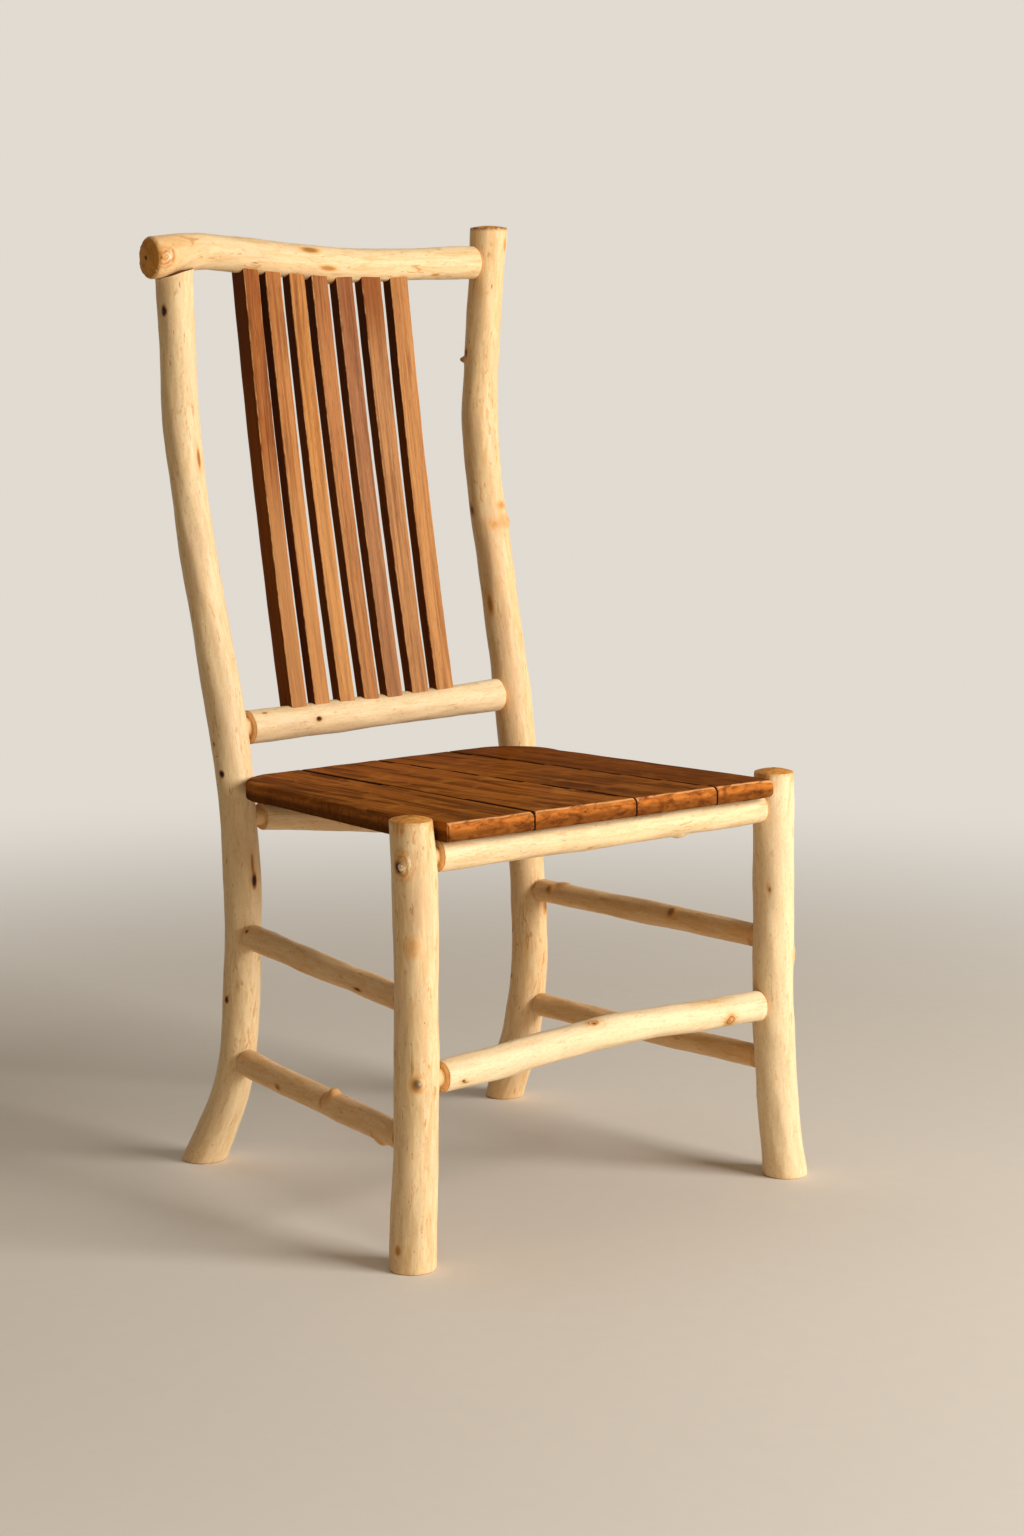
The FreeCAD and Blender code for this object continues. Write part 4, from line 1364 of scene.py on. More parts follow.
@dataclass
class PoleFrame:
    """The thirteen poles of the chair."""

    crest_height: float = 1012.0
    crest_overhang: float = 41.0
    crest_more: float = 1.0
    post_dome: float = 2.4
    lower_back_height: float = 501.0
    rear_rail_height: float = 402.0
    rear_rail_forward: float = 7.5
    front_rail_height: float = 420.5
    stretcher_height: float = 200.0
    finish: PeeledPole = PeeledPole()

    def __post_init__(self) -> None:
        """Work out the uprights and the two rails of the back."""
        uprights = (LEFT_POST, RIGHT_POST, LEFT_LEG, RIGHT_LEG)
        self.uprights = {piece.name: piece.pole() for piece in uprights}
        self.crest = CrossRail("crest_rail", SIZES.rear_spread, self.back_line(self.crest_height),
                               self.crest_height, 40.0, CREST_TABLE, CREST_MARKS, tenon=25.0)
        self.lower = CrossRail("lower_back_rail", SIZES.rear_spread,
                               self.back_line(self.lower_back_height), self.lower_back_height,
                               38.0, LOWER_BACK_TABLE, LOWER_BACK_MARKS, tone=-0.34, tenon=24.0)

    def back_line(self, height: float) -> float:
        """How far back the rear posts' middle lines are at a height."""
        return self.uprights["rear_post_left"].centre(height)[1]

    def low_rails(self) -> list[tuple[CrossRail, str, str]]:
        """The rails below the back, each with the uprights that it joins."""
        rear_y = self.back_line(self.rear_rail_height) - self.rear_rail_forward
        rear = CrossRail("rear_seat_rail", SIZES.rear_spread, rear_y, self.rear_rail_height, 31.0,
                         REAR_RAIL_TABLE, REAR_RAIL_MARKS)
        front = CrossRail("front_seat_rail", SIZES.front_spread, SIZES.front,
                          self.front_rail_height, 34.0, FRONT_RAIL_TABLE, FRONT_RAIL_MARKS,
                          tone=-0.3)
        stretcher = CrossRail("front_stretcher", SIZES.front_spread, SIZES.front,
                              self.stretcher_height, 34.5, FRONT_STRETCHER_TABLE,
                              FRONT_STRETCHER_MARKS, tone=-0.42, near_gap=7.0)
        return [(rear, "rear_post_left", "rear_post_right"),
                (front, "front_leg_left", "front_leg_right"),
                (stretcher, "front_leg_left", "front_leg_right")]

    def build_crest(self) -> bpy.types.Object:
        """The crest's mesh: its left end sawn, its right end tenoned into the right post."""
        rail = self.crest.pole()
        sawn = -SIZES.rear_spread / 2 - self.crest_overhang - self.crest_more
        start = End(sawn, EndKind.SAWN, rim=4.0, dome=3.0, ragged=0.5, bark=0.40)
        end = face(self.uprights["rear_post_right"], 1, rail) - self.crest.far_gap
        finish = End(end, EndKind.SHOULDER, rim=0.8, tenon=self.crest.tenon / 2)
        return PoleSkin(self.crest.name, rail, start, finish, self.crest.marks,
                        self.crest.tone).build()

    def build(self) -> None:
        """Build and dress all the poles."""
        material = self.finish.material()
        crest = self.crest.pole()
        poles = self.uprights
        post_top = crest.centre(poles["rear_post_left"].centre(self.crest_height)[0])[2]
        left_top = End(post_top, EndKind.SADDLE, rim=8.0, tenon=12.0, carries=crest)
        right_top = End(SIZES.back_height - self.post_dome, EndKind.SAWN, rim=1.8,
                        dome=self.post_dome, ragged=0.6, bark=0.66)
        pieces = [LEFT_POST.build(left_top), RIGHT_POST.build(right_top), LEFT_LEG.build(),
                  RIGHT_LEG.build(), self.build_crest(),
                  self.lower.build(poles["rear_post_left"], poles["rear_post_right"])]
        for rail, left, right in self.low_rails():
            pieces.append(rail.build(poles[left], poles[right]))
        for side, stretcher in STRETCHERS:
            pieces.append(stretcher.build(poles["front_leg_" + side], poles["rear_post_" + side]))
        for piece in pieces:
            settle(piece, piece.name.removesuffix(PEELED), material)


# The back

@dataclass
class BackSlats:
    """The seven slats between the two rails of the back, each lightly bowed."""

    crest: Pole
    lower: Pole
    pitch: float = 34.0
    bow: float = 5.0
    foot_forward: float = 10.0
    head_forward: float = 13.0
    seat: float = 11.0
    edge: float = 1.2
    step: float = 5.0
    foot_shares: tuple[float, ...] = (-3.21, -2.28, -1.27, -0.28, 0.68, 1.75, 2.79)
    head_shares: tuple[float, ...] = (-3.68, -2.82, -1.89, -0.99, 0.02, 1.12, 2.27)
    foot_widths: tuple[float, ...] = (0.61, 0.60, 0.615, 0.61, 0.65, 0.69, 0.735)
    head_widths: tuple[float, ...] = (0.585, 0.62, 0.61, 0.65, 0.675, 0.80, 0.735)
    thickness: float = 16.0
    first_thickness: float = 26.0
    clearance: float = 0.2
    seed: int = 40
    wave_count: int = 8
    wave_sizes: tuple[float, float] = (0.08, 0.2)
    wave_lengths: tuple[float, float] = (60.0, 260.0)
    sway: float = 0.8
    lean: float = 0.4
    rub: float = 2.0
    bodies: tuple[Colour, ...] = (
        (163, 98, 50), (192, 130, 76), (198, 136, 78), (184, 124, 76), (164, 110, 74),
        (190, 135, 86), (200, 142, 88))
    streaks: tuple[Colour, ...] = (
        (124, 70, 37), (156, 98, 54), (164, 106, 56), (148, 96, 58), (128, 82, 56),
        (152, 104, 68), (172, 116, 68))
    # For each slat, how much painted shade darkens its head and how much painted light pales its
    # foot.
    head_shade: tuple[float, ...] = (0.12, 0.30, 0.12, 0.28, 0.40, 0.75, 0.22)
    foot_light: tuple[float, ...] = (0.34, 0.24, 0.24, 0.06, 0.12, 0.0, 0.0)

    def ends(self, i: int) -> tuple[np.ndarray, np.ndarray]:
        """Where a slat's front face starts in the lower rail and ends in the crest.

        Args:
            i: Which slat, from the left.

        Returns:
            The two points.
        """
        foot = self.lower.centre(self.pitch * self.foot_shares[i])
        head = self.crest.centre(self.pitch * self.head_shares[i])
        foot += (0.0, -self.foot_forward, self.lower.radius(foot[0]) - self.seat)
        head -= (0.0, self.head_forward, self.crest.radius(head[0]) - self.seat)
        return foot, head

    def outline(self, width: float, thickness: float,
                wear: float) -> list[tuple[float, float, float, float]]:
        """One section of a slat, from its front left corner.

        Args:
            width: Width of the front face.
            thickness: From front to back.
            wear: How much more than usual the front corners are rubbed.

        Returns:
            For each point its place across and back, how much it belongs to a side, and to an edge.
        """
        half = width / 2
        front = self.edge + wear
        points = []
        corners = ((-half, 0.0, 180, front), (half, 0.0, 270, front),
                   (half, thickness, 0, self.edge), (-half, thickness, 90, self.edge))
        faces = (0.0, 1.0, 0.0, 1.0)
        for k, (x, y, start, radius) in enumerate(corners):
            middle_x = x - math.copysign(radius, x)
            middle_y = radius if y == 0 else thickness - radius
            for angle in (0, 30, 60, 90):
                turn = math.radians(start + angle)
                side = faces[k - 1] if angle < 45 else faces[k]
                points.append((middle_x + radius * math.cos(turn),
                               middle_y + radius * math.sin(turn), side,
                               1.0 if 0 < angle < 90 else 0.4))
            x_next, y_next, _, _ = corners[(k + 1) % 4]
            for share in (0.25, 0.5, 0.75):
                points.append((x + (x_next - x) * share, y + (y_next - y) * share, faces[k], 0.0))
        return points

    def build_slat(self, i: int) -> bpy.types.Object:
        """The mesh of one slat.

        Args:
            i: Which slat, from the left.

        Returns:
            The slat.
        """
        rng = random.Random(self.seed + i)
        waves = [(rng.uniform(*self.wave_sizes), math.tau / rng.uniform(*self.wave_lengths),
                  rng.uniform(0, math.tau)) for _ in range(self.wave_count)]
        foot, head = self.ends(i)
        thickness = self.first_thickness if i == 0 else self.thickness
        length = float(np.linalg.norm(head - foot))
        count = round(length / self.step)
        points, grains, sides, edges = [], [], [], []
        for k in range(count + 1):
            share = k / count
            wobble = [size * math.sin(pitch * share * length + phase)
                      for size, pitch, phase in waves]
            middle = foot + (head - foot) * share
            width = self.pitch * (self.foot_widths[i] * (1 - share) + self.head_widths[i] * share)
            bow = self.bow * 4 * share * (1 - share)
            wear = max(0.0, wobble[1] + wobble[2]) * self.rub
            section = self.outline(width - self.clearance + wobble[0], thickness, wear)
            for x, y, side, edge in section:
                points.append((middle[0] + x + wobble[3] * self.sway,
                               middle[1] + y + bow + wobble[4] * self.lean, middle[2]))
                grains.append((x + wobble[5], y, share * length))
                sides.append(side)
                edges.append(edge)
        ring = len(section)
        faces = []
        for k in range(count):
            low, high = k * ring, (k + 1) * ring
            faces += [(low + j, low + (j + 1) % ring, high + (j + 1) % ring, high + j)
                      for j in range(ring)]
        faces.append(tuple(reversed(range(ring))))
        faces.append(tuple(count * ring + j for j in range(ring)))
        mesh = make_mesh(f"back_slat_{i + 1}_walnut", np.array(points), faces)
        for name, rows in (("grain", grains), ("side", sides), ("edge", edges)):
            store(mesh, name, np.array(rows))
        return make_object(mesh.name, mesh)

    def build(self) -> None:
        """Build and dress the slats."""
        for i in range(len(self.foot_shares)):
            finish = WalnutSlat(f"slat_walnut_{i + 1}", self.bodies[i], self.streaks[i],
                                head_shade=self.head_shade[i], foot_light=self.foot_light[i],
                                shift=31.0 * i)
            settle(self.build_slat(i), f"back_slat_{i + 1}", finish.material())


# The seat

WEAR_ROWS = (0.3, 1.0, 2.1, 3.5, 5.2, 8.0)


@dataclass
class PlankSeat:
    """The seat: four boards with worn outer edges, notched at the left leg, over a batten."""

    leg_left: Pole
    leg_right: Pole
    thickness: float = 20.0
    drop: float = 8.0
    front_overhang: float = 29.0
    left_inset: float = 7.0
    left_rear_overhang: float = 10.5
    right_rear_inset: float = 16.5
    rear_left: float = 2.0
    rear_right: float = 16.0
    corner_run: float = 88.0
    corner_width: float = 45.0
    front_corner: float = 9.0
    board_corner: float = 1.4
    leg_gap: float = 1.0
    notch_depth: float = 27.0
    top_edge: float = 5.0
    under_edge: float = 3.0
    corner_wear: float = 3.5
    seam_gap: float = 0.5
    groove: float = 1.2
    seam_front: tuple[float, ...] = (-0.462, 0.085, 0.54)
    seam_rear: tuple[float, ...] = (-0.586, -0.073, 0.436)
    grid: float = 6.0
    grid_start: float = 11.0
    straight_step: float = 4.0
    corner_step: float = 3.8
    long_run: float = 10.0
    rim_gap: float = 0.24
    seam_band: float = 1.0
    seam_wear: float = 6.0
    corner_reach: float = 16.0
    plane_seed: int = 70
    plane_waves: int = 6
    plane_size: float = 0.07
    planed: float = 0.25
    calm: float = 12.0
    wear_swing: float = 0.16
    front_band: float = 5.5
    edge_band: float = 4.0
    edge_share: float = 0.3
    crease: float = 52.0
    # Body and gold of each board; the right-hand boards are darker, partly their own tone, partly
    # painted shade.
    tones: tuple[tuple[Colour, Colour], ...] = (
        ((160, 94, 36), (202, 128, 54)), ((166, 97, 38), (206, 130, 54)),
        ((150, 87, 33), (190, 118, 48)), ((128, 70, 25), (168, 100, 39)))

    @property
    def underside(self) -> float:
        """Height of the boards' underside before the seat is leaned back."""
        return SIZES.seat_height - self.thickness

    def key_points(self) -> dict[str, np.ndarray]:
        """The corners of the seat's outline, flat, by name."""
        left, right = self.leg_left, self.leg_right
        notch_x = left.centre(self.underside)[0] + left.radius(self.underside) + self.leg_gap
        right_x = right.centre(self.underside)[0] - right.radius(self.underside) - self.leg_gap
        notch_y = SIZES.front + self.notch_depth
        front = SIZES.front - self.front_overhang
        half_rear, half_front = SIZES.rear_spread / 2, SIZES.front_spread / 2
        places = {
            "left_end": (-half_rear - self.left_rear_overhang, SIZES.rear + self.rear_left),
            "right_end": (half_rear - self.right_rear_inset, SIZES.rear + self.rear_right),
            "left_front": (-half_front + self.left_inset, notch_y),
            "inner": (notch_x, notch_y),
            "notch_front": (notch_x, front),
            "right_front": (right_x, front),
        }
        points = {name: np.array(place) for name, place in places.items()}
        for side in ("left", "right"):
            end, start = points[side + "_end"], points[side + "_front"]
            way = (start - end) / np.linalg.norm(start - end)
            points[side + "_side"] = end + way * self.corner_run
            points["side_start"] = start - way * self.front_corner
        points["front_end"] = points["right_front"] - (self.front_corner, 0.0)
        across = points["right_end"] - points["left_end"]
        across = across / np.linalg.norm(across) * self.corner_width
        points["right_turn"] = points["right_end"] - across
        points["left_turn"] = points["left_end"] + across
        return points

    def outline(self) -> tuple[np.ndarray, np.ndarray]:
        """The seat's outline, closely spaced and counter-clockwise, and its worn stretches.

        Returns:
            The points of the outline, and the ends of each short worn piece of it.
        """
        p = self.key_points()
        names = ("left_side", "left_front", "inner", "notch_front", "front_end", "side_start",
                 "right_side", "right_turn", "left_turn")
        corners = {"right_side": "right_end", "left_turn": "left_end", "front_end": "right_front"}
        points, worn = [], []
        for a, b in zip(names, names[1:] + names[:1]):
            if a in corners:
                count = max(5, round(float(np.linalg.norm(p[b] - p[a])) / self.corner_step))
                stretch = arc(p[a], (p[a] + 2 * p[corners[a]] + p[b]) / 4, p[b], count)
            else:
                stretch = spaced(p[a], p[b], self.straight_step)
            points += stretch[:-1]
            if a not in ("left_front", "inner"):
                worn += list(zip(stretch, stretch[1:]))
        return np.array(points), np.array(worn)

    def seam_line(self, i: int) -> tuple[np.ndarray, np.ndarray]:
        """A point on a seam and the seam's direction, from the front to the back.

        Args:
            i: Which seam, from the left.

        Returns:
            The point and the direction.
        """
        front = np.array((SIZES.front_spread / 2 * self.seam_front[i],
                          SIZES.front - self.front_overhang))
        rear = np.array((SIZES.rear_spread / 2 * self.seam_rear[i], SIZES.rear + self.rear_right))
        way = rear - front
        return front, way / np.linalg.norm(way)

    def board_outline(self, i: int, outline: np.ndarray) -> np.ndarray:
        """Outline of one board, cut from the seat's by its seams.

        Args:
            i: Which board, from the left.
            outline: The seat's outline.

        Returns:
            The board's outline, closely spaced.
        """
        board = outline
        if i > 0:
            point, way = self.seam_line(i - 1)
            board = clipped(board, point, np.array((way[1], -way[0])), self.seam_gap / 2)
        if i < len(self.seam_front):
            point, way = self.seam_line(i)
            board = clipped(board, point, np.array((-way[1], way[0])), self.seam_gap / 2)
        board = eased(board, self.board_corner)
        dense = []
        for a, b in zip(board, np.roll(board, -1, axis=0)):
            dense += graded(a, b)[:-1] if np.linalg.norm(b - a) > self.long_run else [a]
        return np.array(dense)

    def heights(self, points: np.ndarray, worn: np.ndarray, seed: int) -> tuple[np.ndarray, ...]:
        """Top and underside of a board at some of its points.

        Args:
            points: The points, flat.
            worn: The worn stretches of the seat's outline.
            seed: What the hand-planed waves start from.

        Returns:
            The heights of the top, of the underside, and the distances to the worn edge.
        """
        distance = distance_to(points, worn)
        x, y = points[:, 0], points[:, 1]
        rng = random.Random(seed)
        wave = np.zeros(len(points))
        for _ in range(self.plane_waves):
            across, along = rng.uniform(-0.05, 0.05), rng.uniform(-0.025, 0.025)
            phase = rng.uniform(0, math.tau)
            wave += self.plane_size * np.cos(x * across + y * along + phase)
        swing = self.wear_swing * np.cos(x * 0.11 + seed) * np.cos(y * 0.07 + seed)
        to_corner = np.linalg.norm(points - self.key_points()["right_front"], axis=1)
        corner = self.corner_wear * np.exp(-(to_corner / self.corner_reach) ** 2)
        wear = self.top_edge * (1 + swing) + corner
        over = np.clip(wear - distance, 0, None)
        top = SIZES.seat_height - wear + np.sqrt(np.clip(wear ** 2 - over ** 2, 0, None))
        top = np.minimum(top, SIZES.seat_height) - self.planed
        top += wave * np.clip(distance / self.calm, 0, 1)
        top -= self.groove * self.seam_depth(points)
        rise = self.under_edge + corner
        under = np.clip(rise - distance, 0, None)
        bottom = self.underside + rise - np.sqrt(np.clip(rise ** 2 - under ** 2, 0, None))
        return top, bottom, distance

    def inner_points(self, board: np.ndarray, outline: np.ndarray, worn: np.ndarray) -> np.ndarray:
        """Points inside a board: rows along its worn edges, and a grid between them.

        Args:
            board: The board's outline.
            outline: The seat's outline.
            worn: The worn stretches of the seat's outline.

        Returns:
            The points.
        """
        ahead = np.roll(outline, -1, axis=0) - outline
        behind = outline - np.roll(outline, 1, axis=0)
        way = ahead / np.linalg.norm(ahead, axis=1)[:, None]
        way += behind / np.linalg.norm(behind, axis=1)[:, None]
        way /= np.linalg.norm(way, axis=1)[:, None]
        inward = np.stack((-way[:, 1], way[:, 0]), axis=1)
        rows = []
        for depth in WEAR_ROWS:
            row = outline + inward * depth
            rows.append(row[np.abs(distance_to(row, worn) - depth) < 0.06 * depth + 0.02])
        low, high = board.min(axis=0), board.max(axis=0)
        x, y = np.meshgrid(*(np.arange(low[k], high[k], self.grid) for k in range(2)))
        grid = np.stack((x.ravel(), y.ravel()), axis=1)
        grid = grid[distance_to(grid, worn) > self.grid_start]
        found = np.concatenate(rows + [grid])
        edge = np.stack((board, np.roll(board, -1, axis=0)), axis=1)
        to_edge = distance_to(found, edge)
        keep = inside(found, board) & (to_edge > self.rim_gap)
        near_seam = to_edge < self.seam_band
        return found[keep & ~(near_seam & (distance_to(found, worn) > self.seam_wear))]

    def build_board(self, i: int) -> bpy.types.Object:
        """The mesh of one board.

        Args:
            i: Which board, from the left.

        Returns:
            The board.
        """
        outline, worn = self.outline()
        board = self.board_outline(i, outline)
        inner = self.inner_points(board, outline, worn)
        rim = len(board)
        flat = np.concatenate((board, inner))
        loop = [(k, (k + 1) % rim) for k in range(rim)]
        found = geometry.delaunay_2d_cdt([Vector(p) for p in flat], loop, [], 1, 0.01)
        flat = np.array([tuple(p) for p in found[0]])
        top, bottom, distance = self.heights(flat, worn, self.plane_seed + i)
        count = len(flat)
        triangles = [tuple(triangle) for triangle in found[2]]
        layers = [np.column_stack((flat, top)), np.column_stack((flat, bottom))]
        faces = [upward(triangle, flat) for triangle in triangles]
        faces += [tuple(count + k for k in reversed(face)) for face in faces]
        where = [next(k for k, origin in enumerate(found[3]) if j in origin) for j in range(rim)]
        wall = [layers[0][where]]
        for share in (0.35, 0.7):
            wall.append(layers[0][where] * (1 - share) + layers[1][where] * share)
        wall.append(layers[1][where])
        start = 2 * count
        rings = [where, [start + k for k in range(rim)], [start + rim + k for k in range(rim)],
                 [count + k for k in where]]
        for high, low in zip(rings, rings[1:]):
            faces += [(high[k], low[k], low[(k + 1) % rim], high[(k + 1) % rim])
                      for k in range(rim)]
        points = np.concatenate(layers + wall[1:3])
        front = SIZES.front - self.front_overhang
        near = np.concatenate((distance, distance, distance[where], distance[where]))
        at_front = np.clip(1 - (points[:, 1] - front) / self.front_band, 0, 1)
        at_edge = self.edge_share * np.clip(1 - near / self.edge_band, 0, 1)
        mesh = make_mesh(f"seat_board_{i + 1}_walnut", self.leaned(points), faces, self.crease)
        _, way = self.seam_line(min(i, len(self.seam_front) - 1))
        along = points[:, :2] @ way
        across = points[:, :2] @ np.array((way[1], -way[0]))
        # How far below the rounded top edge each point is, for the painted shade on the walls.
        below = SIZES.seat_height - self.top_edge * 0.6 - points[:, 2]
        for name, rows in (("grain", np.column_stack((across, along, points[:, 2]))),
                           ("edge", np.clip(at_front + at_edge, 0, 1)),
                           ("seam", self.seam_depth(points)),
                           ("low", np.clip(below / self.top_edge / 2, 0, 1))):
            store(mesh, name, rows)
        return make_object(mesh.name, mesh)

    def seam_depth(self, points: np.ndarray) -> np.ndarray:
        """How deep in a seam each point is, 0 to 1."""
        nearest = np.full(len(points), 99.0)
        for k in range(len(self.seam_front)):
            start, way = self.seam_line(k)
            away = np.abs((points[:, :2] - start) @ np.array((way[1], -way[0])))
            nearest = np.minimum(nearest, away)
        return np.clip(1 - (nearest - self.seam_gap / 2) / self.groove, 0, 1)

    def leaned(self, points: np.ndarray) -> np.ndarray:
        """Points of a level seat, leaned back with the seat about its front height."""
        turn = -math.atan2(self.drop, SIZES.depth)
        y = points[:, 1] - SIZES.front
        z = points[:, 2] - SIZES.seat_height
        back = SIZES.front + y * math.cos(turn) - z * math.sin(turn)
        height = SIZES.seat_height + y * math.sin(turn) + z * math.cos(turn)
        return np.column_stack((points[:, 0], back, height))

    def build(self) -> None:
        """Build and dress the boards, and finish the batten and the screws."""
        for i, (body, gold) in enumerate(self.tones):
            finish = WalnutPlank(f"seat_walnut_{i + 1}", body, gold, shift=57.0 * i)
            settle(self.build_board(i), f"seat_board_{i + 1}", finish.material())
        for node, finish in (("seat_batten", PlainWalnut()), ("seat_screws", ScrewSteel())):
            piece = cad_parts[node]
            material = finish.material()
            for slot in piece.material_slots:
                slot.material = material
            log.info("%s: kept from the frame, %d slots", node, len(piece.material_slots))


def spaced(a: np.ndarray, b: np.ndarray, step: float) -> list[np.ndarray]:
    """Points from a to b, evenly spaced by about a step."""
    count = max(1, round(float(np.linalg.norm(b - a)) / step))
    return [a + (b - a) * k / count for k in range(count + 1)]


def graded(a: np.ndarray, b: np.ndarray) -> list[np.ndarray]:
    """Points from a to b, closer together at the two ends, as the worn edges there need."""
    length = float(np.linalg.norm(b - a))
    near = [0.0, *WEAR_ROWS]
    middle = list(np.arange(12.0, length - 10.0, 5.0))
    places = near + middle + [length - place for place in reversed(near)]
    return [a + (b - a) * place / length for place in places]


def arc(a: np.ndarray, middle: np.ndarray, b: np.ndarray, count: int) -> list[np.ndarray]:
    """Points on the arc from a through a middle point to b.

    Args:
        a: Where it starts.
        middle: A point that it passes.
        b: Where it ends.
        count: How many pieces it is divided into.

    Returns:
        The points.
    """
    matrix = 2 * np.array((middle - a, b - a))
    centre = np.linalg.solve(matrix, np.array((middle @ middle - a @ a, b @ b - a @ a)))
    radius = np.linalg.norm(a - centre)
    start = math.atan2(*(a - centre)[::-1])
    sweep = (math.atan2(*(b - centre)[::-1]) - start + math.pi) % math.tau - math.pi
    turns = [start + sweep * k / count for k in range(count + 1)]
    return [centre + radius * np.array((math.cos(turn), math.sin(turn))) for turn in turns]


def clipped(outline: np.ndarray, point: np.ndarray, normal: np.ndarray, gap: float) -> np.ndarray:
    """The part of an outline on one side of a line.

    Args:
        outline: The outline.
        point: A point on the line.
        normal: Direction away from the line, into the part that stays.
        gap: How far from the line the cut is.

    Returns:
        The outline of the part.
    """
    heights = (outline - point) @ normal - gap
    kept = []
    for k in range(len(outline)):
        a, b = outline[k - 1], outline[k]
        high, low = heights[k - 1], heights[k]
        if (high > 0) != (low > 0):
            kept.append(a + (b - a) * high / (high - low))
        if low > 0:
            kept.append(b)
    return np.array(kept)


def eased(outline: np.ndarray, size: float, sharpest: float = 40.0) -> np.ndarray:
    """A counter-clockwise outline with its sharp outer corners rubbed round.

    Args:
        outline: The outline.
        size: How far from each corner the rubbing starts.
        sharpest: Corners that turn by fewer degrees than this stay.

    Returns:
        The new outline.
    """
    ahead = np.roll(outline, -1, axis=0) - outline
    behind = outline - np.roll(outline, 1, axis=0)
    cross = behind[:, 0] * ahead[:, 1] - behind[:, 1] * ahead[:, 0]
    turn = np.arctan2(cross, (behind * ahead).sum(axis=1))
    corners = [k for k in range(len(outline)) if math.degrees(turn[k]) > sharpest]
    points = []
    for k, point in enumerate(outline):
        if k in corners:
            before = point - behind[k] / np.linalg.norm(behind[k]) * size
            after = point + ahead[k] / np.linalg.norm(ahead[k]) * size
            points += [(1 - s) ** 2 * before + 2 * s * (1 - s) * point + s * s * after
                       for s in (0, 0.3, 0.7, 1)]
        elif all(np.linalg.norm(point - outline[corner]) > size * 1.3 for corner in corners):
            points.append(point)
    return np.array(points)


def distance_to(points: np.ndarray, pieces: np.ndarray) -> np.ndarray:
    """Distance from each point to the nearest of some straight pieces.

    Args:
        points: The points, flat.
        pieces: The two ends of each piece.

    Returns:
        One distance for each point.
    """
    nearest = np.full(len(points), 1e9)
    for a, b in pieces:
        run = b - a
        share = np.clip((points - a) @ run / (run @ run), 0, 1)
        nearest = np.minimum(nearest, np.linalg.norm(points - a - share[:, None] * run, axis=1))
    return nearest


def inside(points: np.ndarray, outline: np.ndarray) -> np.ndarray:
    """Which points lie inside an outline.

    Args:
        points: The points, flat.
        outline: The closed outline.

    Returns:
        True for each point inside it.
    """
    found = np.zeros(len(points), bool)
    for a, b in zip(outline, np.roll(outline, -1, axis=0)):
        if a[1] == b[1]:
            continue
        crosses = (a[1] > points[:, 1]) != (b[1] > points[:, 1])
        at = a[0] + (points[:, 1] - a[1]) * (b[0] - a[0]) / (b[1] - a[1])
        found ^= crosses & (points[:, 0] < at)
    return found


def upward(triangle: tuple[int, ...], flat: np.ndarray) -> tuple[int, ...]:
    """A triangle with its corners counter-clockwise."""
    a, b, c = (flat[k] for k in triangle)
    turn = (b[0] - a[0]) * (c[1] - a[1]) - (b[1] - a[1]) * (c[0] - a[0])
    return triangle if turn > 0 else tuple(reversed(triangle))


# The studio

@dataclass(frozen=True)
class Lamp:
    """A soft square lamp: the way to it from the chair, its distance, width, power and colour."""

    name: str
    way: tuple[float, float, float]
    distance: float
    width: float
    power: float
    colour: tuple[float, float, float] = (1.0, 1.0, 1.0)
    aim: tuple[float, float, float] = (0.0, 0.0, 0.5)

    def build(self) -> None:
        """Put the lamp up, facing the middle of the chair."""
        light = bpy.data.lights.new(self.name, "AREA")
        light.size = self.width
        light.energy = self.power
        light.color = self.colour
        lamp = bpy.data.objects.new(self.name, light)
        way = Vector(self.way).normalized()
        lamp.location = way * self.distance + Vector(self.aim)
        lamp.rotation_euler = way.to_track_quat("Z", "Y").to_euler()
        bpy.context.scene.collection.objects.link(lamp)


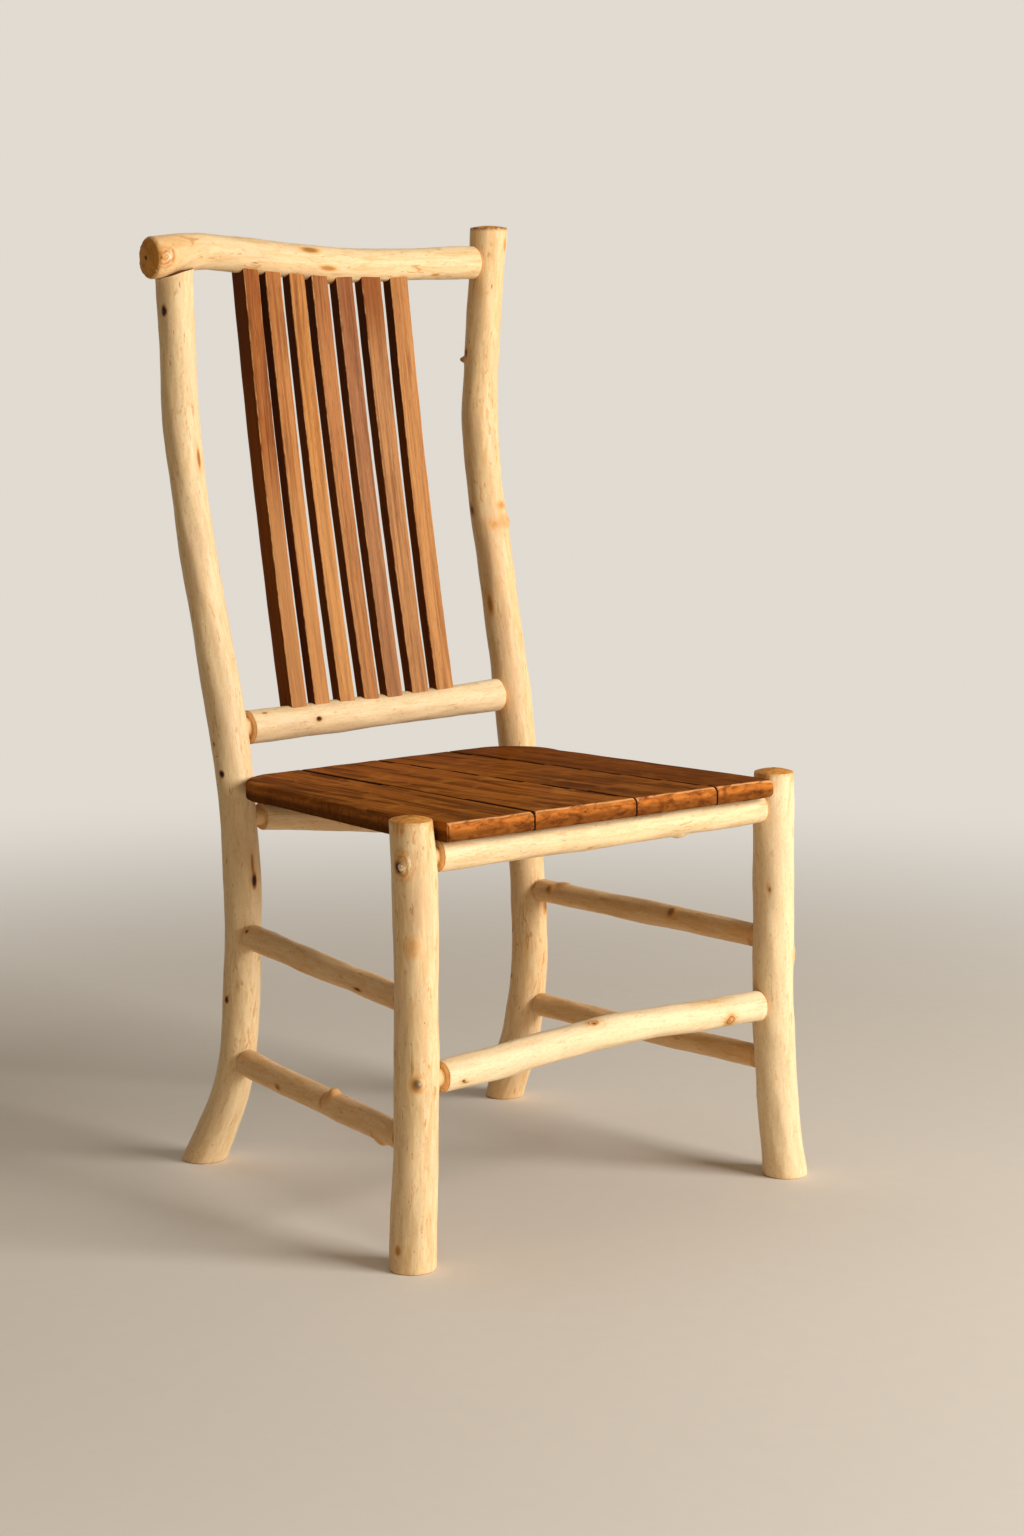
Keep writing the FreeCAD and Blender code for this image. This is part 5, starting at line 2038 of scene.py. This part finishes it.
@dataclass
class Studio:
    """The pale floor, the plain world, the lamps and the camera."""

    floor_half: float = 9.0
    floor_colour: Colour = (226, 217, 205)
    backdrop: Colour = (225, 219, 210)
    grey: tuple[float, float, float, float] = (0.5, 0.5, 0.5, 1.0)
    fade_start: float = 0.7
    fade_end: float = 2.6
    world_colour: tuple[float, float, float, float] = (1.0, 0.77, 0.44, 1.0)
    world_strength: float = 0.10
    camera_place: tuple[float, float, float] = (-1.8616, -2.4682, 0.9503)
    camera_yaw: float = 37.861
    camera_pitch: float = 9.081
    focal_pixels: float = 2823.0
    image_height: float = 1536.0
    sensor: float = 36.0
    lamps: tuple[Lamp, ...] = (
        Lamp("key_lamp", (0.44, -0.93, 0.36), 4.4, 2.3, 236.0, (1.0, 0.98, 0.95)),
        Lamp("fill_lamp", (-0.40, -0.9, 0.4), 3.6, 2.4, 12.0, (1.0, 0.74, 0.42)),
        Lamp("top_lamp", (-0.1, 0.3, 1.0), 3.2, 2.0, 16.0))

    def build_floor(self) -> None:
        """The floor, fading into the backdrop's colour far from the chair."""
        half = self.floor_half
        mesh = bpy.data.meshes.new("floor")
        corners = [(-half, -half, 0), (half, -half, 0), (half, half, 0), (-half, half, 0)]
        mesh.from_pydata(corners, [], [(0, 1, 2, 3)])
        floor = make_object("floor", mesh)
        w = Wiring("pale_floor")
        place = w.tree.nodes.new("ShaderNodeTexCoord").outputs["Object"]
        grit = w.noise(w.scaled(place, (40.0, 40.0, 40.0)), 3, 0.6)
        colour = w.mix(w.fade(grit, 0.3, 0.7, 0.0, 0.05), linear(self.floor_colour), self.grey)
        w.finish(colour, 0.75)
        surface = w.output.inputs["Surface"].links[0].from_socket
        glow = w.tree.nodes.new("ShaderNodeEmission")
        glow.inputs["Color"].default_value = linear(self.backdrop)
        x, y, _ = w.parts(place)
        far = w.fade(w.length(x, y), self.fade_start, self.fade_end)
        shown = w.sum("MULTIPLY", far, seen_rays(w.tree))
        blend(w.tree, shown, surface, glow.outputs[0], w.output.inputs["Surface"])
        mesh.materials.append(w.material)

    def build_world(self) -> None:
        """A plain world: soft light for the chair, the backdrop's colour for the camera."""
        world = bpy.data.worlds.new("studio")
        world.use_nodes = True
        tree = world.node_tree
        tree.nodes.clear()
        output = tree.nodes.new("ShaderNodeOutputWorld")
        light, shown = (tree.nodes.new("ShaderNodeBackground") for _ in range(2))
        light.inputs["Color"].default_value = self.world_colour
        light.inputs["Strength"].default_value = self.world_strength
        shown.inputs["Color"].default_value = linear(self.backdrop)
        blend(tree, seen_rays(tree), light.outputs[0], shown.outputs[0], output.inputs["Surface"])
        bpy.context.scene.world = world

    def build_camera(self) -> None:
        """The camera at the photograph's viewing angle."""
        data = bpy.data.cameras.new("camera")
        data.sensor_width = self.sensor
        data.lens = self.focal_pixels / self.image_height * self.sensor
        camera = bpy.data.objects.new("camera", data)
        camera.location = self.camera_place
        pitch, yaw = math.radians(90.0 - self.camera_pitch), math.radians(-self.camera_yaw)
        camera.rotation_euler = (pitch, 0.0, yaw)
        bpy.context.scene.collection.objects.link(camera)
        bpy.context.scene.camera = camera

    def build(self) -> None:
        """Set up the studio."""
        self.build_floor()
        self.build_world()
        self.build_camera()
        for lamp in self.lamps:
            lamp.build()
        bpy.context.scene.view_settings.view_transform = "Standard"


def blend(tree: bpy.types.NodeTree, factor: Socket, first: Socket, second: Socket,
          output: Socket) -> None:
    """Show one surface or the other, by a factor.

    Args:
        tree: The nodes to add to.
        factor: How much of the second surface shows.
        first: The first surface.
        second: The second surface.
        output: Where the result goes.
    """
    mixer = tree.nodes.new("ShaderNodeMixShader")
    for start, end in ((factor, mixer.inputs[0]), (first, mixer.inputs[1]),
                       (second, mixer.inputs[2]), (mixer.outputs[0], output)):
        tree.links.new(start, end)


def seen_rays(tree: bpy.types.NodeTree) -> Socket:
    """1 for rays that show the surroundings, straight or in a gloss, and 0 for the other rays.

    Args:
        tree: The nodes to add to.

    Returns:
        The number.
    """
    path = tree.nodes.new("ShaderNodeLightPath")
    seen = path.outputs["Is Camera Ray"]
    for name in ("Is Glossy Ray", "Is Transmission Ray"):
        either = tree.nodes.new("ShaderNodeMath")
        either.operation = "MAXIMUM"
        tree.links.new(seen, either.inputs[0])
        tree.links.new(path.outputs[name], either.inputs[1])
        seen = either.outputs[0]
    return seen


def main() -> None:
    """Dress the chair and set up the studio."""
    logging.basicConfig(level=logging.INFO, format="%(name)s: %(message)s")
    studio = Studio()
    studio.build()
    poles = PoleFrame()
    poles.build()
    BackSlats(poles.crest.pole(), poles.lower.pole()).build()
    PlankSeat(poles.uprights["front_leg_left"], poles.uprights["front_leg_right"]).build()


if __name__ == "__main__":
    main()
